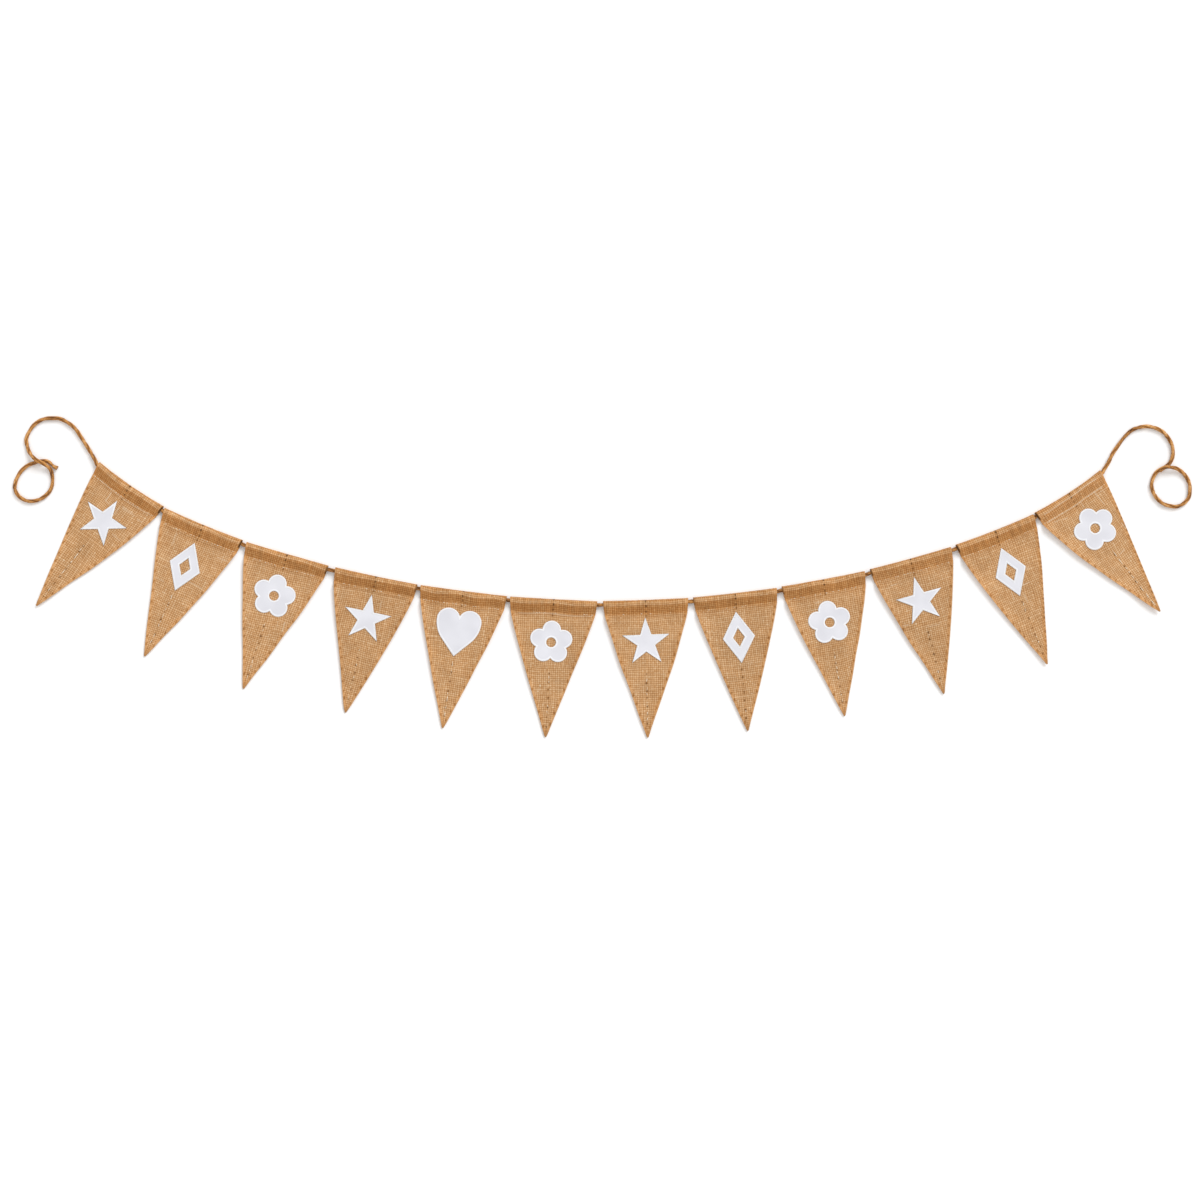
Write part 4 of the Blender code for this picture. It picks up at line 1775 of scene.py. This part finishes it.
@dataclass
class Cord:
    """The two-ply jute cord: one length through all the sleeves, with a loop at each end."""

    pennants: list[Pennant]
    left_route: tuple
    right_route: tuple
    diameter: float = 5.5
    ply_high: float = 1.50
    ply_wide: float = 2.25
    ply_reach: float = 1.25
    lay: float = 50.0
    twist: tuple = (Wave(0.8, 0.052, 0.7), Wave(0.45, 0.127, 2.0))
    spread: tuple = (Wave(0.035, 0.21, shift=2.1), Wave(0.035, 0.083, 1.3, 1.0))
    swell: tuple = (Wave(0.03, 0.37, shift=4.0),)
    fibre_ridges: int = 5
    ridge_rate: float = 0.8
    ridge_size: float = 0.03
    neck_at: float = 9.2
    neck_wide: float = 1.7
    neck_thin: float = 0.30
    neck_dark: float = 0.4
    tail_long: float = 5.0
    tail_flare: float = 0.14
    # Each ply is painted darker where the plies meet and lighter on its outer side: painted shade in the
    # groove, painted light on the round
    groove_shade: float = 0.38
    round_light: float = 0.66
    spacing: float = 1.4
    sides: int = 12
    joint_inset: float = 25.0
    joint_gap: float = 0.5
    run_reach: float = 0.46
    left_shade: float = 0.90
    # The run's lower shade is painted shade on the cord inside and between the sleeves
    run_shade: float = 0.70
    right_shade: float = 1.0
    fibre_apart: float = 3.0
    strips: int = 8
    bake_inset: float = 0.03

    def axis_point(self, flag: Pennant, u: float) -> Vector:
        """Return the place of the cord's axis in a pennant's sleeve.

        Args:
            flag: the pennant.
            u: the place along its fold.

        Returns:
            The place, in millimetres.
        """
        return Vector((*flag.laid(u, flag.fold.axis + flag.sag(u)), flag.fold.axis_height))

    def lines(self) -> tuple[list[Vector], list[Vector], list[Vector]]:
        """Lay out the cord's axis.

        Returns:
            The axis of the left end from its tail inwards, of the run, and of the right end outwards.
        """
        first, last = self.pennants[0], self.pennants[-1]
        run: list[Vector] = []
        for flag in self.pennants:
            reach = self.run_reach * flag.width
            left = self.joint_inset - flag.width / 2 if flag is first else -reach
            right = flag.width / 2 - self.joint_inset if flag is last else reach
            run += [self.axis_point(flag, u) for u in (left, 0.0, right)]
        ends = []
        for inside, joint, mouth, route in (
                (run[1], run[0], self.axis_point(first, -first.width / 2), self.left_route),
                (run[-2], run[-1], self.axis_point(last, last.width / 2), self.right_route)):
            ahead = (joint - inside).normalized()
            start = joint + ahead * self.joint_gap
            near = start + ahead * self.joint_inset / 2
            ends.append(smooth_path([start, near, mouth] + [Vector(place) for place in route], self.spacing))
        return ends[0][::-1], smooth_path(run, self.spacing), ends[1]

    def shape(self, line: list[Vector], way: float, tails: tuple[bool, bool],
              ply: int) -> tuple[np.ndarray, np.ndarray]:
        """Twist one ply round a stretch of the axis.

        Args:
            line: the axis.
            way: how far along the whole cord it starts.
            tails: whether its start and its end are a cut end of the cord.
            ply: number of the ply.

        Returns:
            The ply's points, ring after ring, and how light each is: painted shade in the groove between the
            plies, painted light on their outer sides, and a darker neck near the cut start.
        """
        axis, ways = np.array(line, float), ways_along(line)
        far = way + ways
        ahead = unit(np.gradient(axis, axis=0))
        side = unit(np.cross([0.0, 0.0, 1.0], ahead))
        turn = ROUND * far / self.lay + math.pi * ply + sum(wave.at(far, ply) for wave in self.twist)
        out = side * np.cos(turn)[:, None] + np.cross(ahead, side) * np.sin(turn)[:, None]
        left = np.full(len(far), np.inf)
        neck = np.zeros(len(far))
        if tails[0]:
            left = ways
            neck = np.exp(-((left - self.neck_at) / self.neck_wide) ** 2)
        if tails[1]:
            left = np.minimum(left, ways[-1] - ways)
        flare = 1.0 + self.tail_flare * np.maximum(0.0, 1.0 - left / self.tail_long)
        flare *= 1.0 - self.neck_thin * neck
        reach = self.ply_reach * flare * (1.0 + sum(wave.at(far, ply) for wave in self.spread))
        grow = flare * (1.0 + sum(wave.at(far, ply) for wave in self.swell))
        angle = ROUND * np.arange(self.sides) / self.sides
        ridge = 1.0 + self.ridge_size * np.sin(self.fibre_ridges * angle + (far * self.ridge_rate)[:, None])
        rings = (out[:, None] * np.cos(angle)[:, None] * self.ply_high
                 + np.cross(ahead, out)[:, None] * np.sin(angle)[:, None] * self.ply_wide)
        points = (axis + out * reach[:, None])[:, None] + rings * (grow[:, None] * ridge)[..., None]
        # Painted shade in the groove where the plies meet, painted light on their outer sides
        tones = (1.0 - self.neck_dark * neck)[:, None] * (
            self.groove_shade + self.round_light * (0.5 + 0.5 * np.cos(angle)))
        return points.reshape(-1, 3), tones.ravel()

    def skin(self, far: np.ndarray, ply: int) -> tuple[list[Face], list[Point], list[Point]]:
        """Join the rings of one ply and close its two ends.

        Args:
            far: how far along the whole cord each ring is.
            ply: number of the ply.

        Returns:
            The faces, and the place of each of their corners on the fibre map and on the bake map.
        """
        count, last = self.sides, len(far) - 1
        strip = math.ceil(last / self.strips)
        start = ply * len(far) * count
        faces: list[Face] = []
        fibres: list[Point] = []
        bakes: list[Point] = []
        for ring in range(last):
            column, first = ring // strip, start + ring * count
            for number in range(count):
                a, b = first + number, first + (number + 1) % count
                faces.append((a, b, b + count, a + count))
                for edge, row in ((number, ring), (number + 1, ring),
                                  (number + 1, ring + 1), (number, ring + 1)):
                    aside = self.bake_inset + edge / count * (1.0 - 2.0 * self.bake_inset)
                    fibres.append((edge / count + self.fibre_apart * ply, far[row]))
                    bakes.append(((column + (ply + aside) / 2) / self.strips, (row - column * strip) / strip))
        for ring in (0, last):
            cap = tuple(range(start + ring * count, start + (ring + 1) * count))
            faces.append(cap if ring else cap[::-1])
            fibres += [(0.5, far[ring])] * count
            bakes += [((ply + 0.5) / 2 / self.strips, 0.5)] * count
        return faces, fibres, bakes

    def plies(self, name: str, line: list[Vector], way: float, tails: tuple[bool, bool], shade: float,
              finish: bpy.types.Material) -> bpy.types.Object:
        """Make both plies of a stretch of the cord.

        Args:
            name: the piece's name.
            line: its axis.
            way: how far along the whole cord it starts.
            tails: whether its start and its end are a cut end of the cord.
            shade: how light it is; on the run through the sleeves this is painted shade.
            finish: the jute.

        Returns:
            The piece.
        """
        shapes = [self.shape(line, way, tails, ply) for ply in (0, 1)]
        skins = [self.skin(way + ways_along(line), ply) for ply in (0, 1)]
        points, tones = (np.concatenate(parts) for parts in zip(*shapes))
        faces, fibres, bakes = (first + second for first, second in zip(*skins))
        item = make_object(name, points, faces, finish)
        add_map(item.data, "fibre", np.array(fibres))
        add_map(item.data, "OFBake", np.array(bakes))
        add_values(item.data, "tone", shade * tones)
        return item

    def build(self, finish: bpy.types.Material) -> None:
        """Args:
            finish: the jute.
        """
        left, run, right = self.lines()
        stretches = (("cord_left", left, (True, False), self.left_shade, "cord_end_left"),
                     ("cord_middle", run, (False, False), self.run_shade, "cord_run"),
                     ("cord_right", right, (False, True), self.right_shade, "cord_end_right"))
        way = 0.0
        for name, line, tails, shade, node in stretches:
            item = self.plies(name, line, way, tails, shade, finish)
            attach(item, BODY)
            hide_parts(node)
            long = float(ways_along(line)[-1])
            LOG.info("%s: %.0f mm, %d faces", name, long, len(item.data.polygons))
            way += long + self.joint_gap


# --- Studio ---------------------------------------------------------------------------------------------


@dataclass
class Studio:
    """The white surface, the soft light from above the photograph's upper edge, and the camera."""

    lens: float = 85.0
    sensor: float = 36.0
    view_wide: float = 1740.0
    aim: Point = (2.175, 0.0)
    floor_half: float = 9.0
    floor_parts: int = 12
    floor_gap: float = 0.02
    sun_azimuth: float = 34.0
    sun_elevation: float = 38.0
    sun_strength: float = 1.78
    sun_angle: float = 30.0
    sun_away: float = 3.0
    sun_colour: Colour = (1.0, 1.0625, 1.125)
    sky: Colour = (0.840, 0.818, 0.797)

    def floor(self) -> None:
        """Lay the white paper just under the bunting."""
        bm = bmesh.new()
        parts = self.floor_parts
        bmesh.ops.create_grid(bm, x_segments=parts, y_segments=parts, size=self.floor_half)
        mesh = bpy.data.meshes.new("paper")
        bm.to_mesh(mesh)
        bm.free()
        mesh.materials.append(Paper().make())
        item = link_object("paper", mesh)
        item.location.z = -self.floor_gap * MM

    def light(self) -> None:
        """Light the scene with one large soft lamp and a pale sky."""
        lamp = bpy.data.lights.new("soft_lamp", "SUN")
        lamp.energy = self.sun_strength
        lamp.angle = math.radians(self.sun_angle)
        lamp.color = self.sun_colour
        item = link_object("soft_lamp", lamp)
        azimuth, elevation = math.radians(self.sun_azimuth), math.radians(self.sun_elevation)
        towards = Vector((math.sin(azimuth) * math.cos(elevation), math.cos(azimuth) * math.cos(elevation),
                          math.sin(elevation)))
        item.rotation_euler = (-towards).to_track_quat("-Z", "Y").to_euler()
        item.location = towards * self.sun_away
        world = bpy.data.worlds.new("pale_sky")
        world.use_nodes = True
        tree = world.node_tree
        seen = tree.nodes.new("ShaderNodeLightPath").outputs["Is Camera Ray"]
        tint = tree.nodes.new("ShaderNodeMix")
        tint.data_type = "RGBA"
        tint.inputs[6].default_value = (*self.sky, 1.0)
        tint.inputs[7].default_value = (*WHITE, 1.0)
        tree.links.new(seen, tint.inputs[0])
        tree.links.new(tint.outputs[2], tree.nodes["Background"].inputs[0])
        bpy.context.scene.world = world
        bpy.context.scene.view_settings.view_transform = "Standard"

    def camera(self) -> None:
        """Put the camera straight above the middle of the photograph's frame."""
        data = bpy.data.cameras.new("camera")
        data.lens = self.lens
        data.sensor_width = self.sensor
        item = link_object("camera", data)
        height = self.view_wide * self.lens / self.sensor
        item.location = Vector((*self.aim, height)) * MM
        bpy.context.scene.camera = item


# --- The bunting ----------------------------------------------------------------------------------------

STAR, LOZENGE, FLOWER, HEART = Motif.STAR, Motif.LOZENGE, Motif.FLOWER, Motif.HEART

# For each pennant: x, y, lean, width, drop, tip, bow, out_left, out_right, up_left, up_right, curl, motif,
# motif_v, warmth, dashes, sleeve, deep
PENNANTS = (
    (-676.0, 167.7, 34.6, 114.0, 223.5, -14.2, 2.6, 2.3, 4.7, 1.8, 4.6, 3.0, STAR, 68, 0.98, 0.95, 1, 1),
    (-571.7, 110.1, 22.5, 123.0, 210.0, -6.4, 1.4, 1.3, 3.8, 4.2, 5.2, 1.4, LOZENGE, 68, 0.985, 0.7, 1.02, 1),
    (-450.3, 66.8, 16.1, 124.0, 205.5, -7.9, 0.3, 1.3, 2.6, 4.6, 5.2, 1.2, FLOWER, 64, 0.985, 0.6, 0.93, 1),
    (-321.6, 34.9, 11.9, 122.0, 203.0, -3.7, 0.8, 1.6, 3.0, 5.2, 5.4, 1.0, STAR, 64, 0.925, 0.4, 0.965, 1),
    (-195.2, 13.6, 7.3, 126.5, 201.5, -5.4, 0.6, 1.6, 2.5, 5.2, 5.0, 1.2, HEART, 62, 0.97, 0.8, 0.965, 1),
    (-65.0, 1.5, 3.1, 127.0, 200.5, -1.1, 0.3, 2.0, 1.7, 4.8, 4.0, 1.2, FLOWER, 63, 0.93, 0.2, 0.92, 1),
    (68.0, 0.7, -2.1, 124.0, 200.0, -4.1, 0.6, 1.9, 2.9, 5.0, 2.0, 1.6, STAR, 62, 0.955, 0.4, 0.985, 1),
    (197.3, 10.6, -6.5, 122.6, 201.0, -3.8, 0.7, 2.0, 2.7, 4.8, 1.2, 1.4, LOZENGE, 65, 0.915, 0.3, 0.945, 1),
    (325.1, 30.7, -10.5, 122.8, 201.0, -5.2, 0.8, 2.1, 2.8, 5.0, 1.2, 1.4, FLOWER, 64, 0.95, 0.5, 0.945, 1),
    (451.4, 60.7, -15.4, 122.2, 202.5, -4.9, 0.8, 2.0, 3.0, 5.2, 1.2, 1.8, STAR, 64, 0.925, 0.4, 1.03, 0.8),
    (573.2, 102.0, -21.5, 121.6, 209.5, -0.2, 1.5, 3.4, 3.0, 5.4, 0.8, 3.4, LOZENGE, 66, 0.99, 0.6, 0.945, 1),
    (678.7, 157.1, -33.0, 114.0, 219.0, 18.1, 2.9, 6.3, 2.0, 6.4, 0.8, 4.5, FLOWER, 67, 1.005, 0.95, 1.05,
     0.6),
)

# Pale pulled yarns: u and v of their two ends, and how pale they are
PULLED = {
    1: ((-18, 24, -18.5, 43, 0.45), (-18.5, 43, 2, 42, 0.3), (-40, 21.6, 44, 21.0, 0.22),
        (10, 34, 30, 33.5, 0.25)),
    6: ((-50, 20.9, 56, 21.6, 0.28),),
    12: ((-48, 20.8, 46, 20.4, 0.48), (-46, 6.8, 44, 6.4, 0.45), (33, 20, 36, 44, 0.4), (8, 21, 9, 31, 0.3),
         (-30, 58, -6, 57, 0.3), (14, 118, 24, 117, 0.4)),
}

# Routes of the cord's free ends: x, y and the height of its axis, from the sleeve's mouth outwards
LEFT_ROUTE = (
    (-728.5, 201.5, 4.4), (-733, 209.5, 3.7), (-741, 222.5, 3.0), (-750, 236.5, 2.9), (-758, 248, 2.9),
    (-768, 256.5, 2.9), (-780, 262.5, 2.9), (-792, 263.5, 2.9), (-804.5, 262, 2.9), (-816, 255.5, 2.9),
    (-824, 245.5, 2.9), (-829, 234, 2.9), (-828, 225, 3.0), (-824.5, 214.5, 4.4), (-819, 207.5, 7.4),
    (-814, 203, 9.6), (-808.5, 200, 9.7), (-802, 196.5, 8.1), (-794, 189.5, 4.6), (-791.5, 180.5, 3.2),
    (-791, 171, 2.9), (-793.5, 160.5, 2.9), (-800, 152.5, 2.9), (-808.5, 146.5, 2.9), (-818, 143.5, 2.9),
    (-829, 144, 2.9), (-839.5, 150, 2.9), (-845.5, 160.5, 2.9), (-844.5, 171.5, 2.9), (-841, 180, 2.9),
    (-835, 188.5, 2.9), (-826, 195.5, 2.9), (-815, 199.5, 2.9), (-806, 201.5, 2.9), (-799, 201, 2.9),
    (-793.5, 197.5, 2.9), (-789, 193.5, 2.9), (-784, 191, 2.9),
)
RIGHT_ROUTE = (
    (732, 188.5, 4.4), (739, 199.5, 3.7), (744.5, 211, 3.0), (752, 222.5, 2.9), (761.5, 235.5, 2.9),
    (772, 245.5, 2.9), (783, 250, 2.9), (795, 251.5, 2.9), (807.5, 249, 2.9), (818.5, 243, 2.9),
    (826.5, 233.5, 2.9), (831.5, 223, 2.9), (832.5, 213, 2.9), (831, 204.5, 2.9), (826, 196.5, 2.9),
    (817, 191, 2.9), (808.5, 185, 2.9), (803.5, 176, 2.9), (801.5, 166, 2.9), (804, 155.5, 2.9),
    (809.5, 147, 2.9), (817.5, 140, 2.9), (827, 136.5, 2.9), (838, 135.5, 2.9), (848, 140, 2.9),
    (855, 148, 2.9), (857, 158, 2.9), (856.5, 167.5, 2.9), (852.5, 177, 2.9), (846.5, 184.5, 3.6),
    (838, 190, 5.8), (828.5, 192, 8.4), (820, 192, 8.9), (812, 187, 8.9),
)


def main() -> None:
    """Build the studio, the cord and each dressed pennant."""
    logging.basicConfig(level=logging.INFO, format="%(name)s %(message)s")
    studio = Studio()
    studio.camera()
    pennants = [Pennant(index, *row) for index, row in enumerate(PENNANTS, start=1)]
    Cord(pennants, LEFT_ROUTE, RIGHT_ROUTE).build(Jute().make())
    burlap, satin, thread = Burlap().make(), Satin().make(), Thread().make()
    for flag in pennants:
        cloth = flag.build(burlap)
        stitches = Stitching(flag).build(thread)
        applique = Applique(flag)
        motif = applique.build(satin)
        for item, slot in ((cloth, Slot.BURLAP), (stitches, Slot.BURLAP), (motif, Slot.SATIN)):
            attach(item, BODY)
        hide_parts(f"pennant_{flag.index:02d}")
        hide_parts(f"motif_{flag.index:02d}")
        flag.flat_area()
        flat, area = applique.flat_size()
        LOG.info("%s: %d faces, %d of stitches, %d of %s", cloth.name, len(cloth.data.polygons),
                 len(stitches.data.polygons), len(motif.data.polygons), flag.motif.value)
    studio.floor()
    studio.light()


if __name__ == "__main__":
    main()
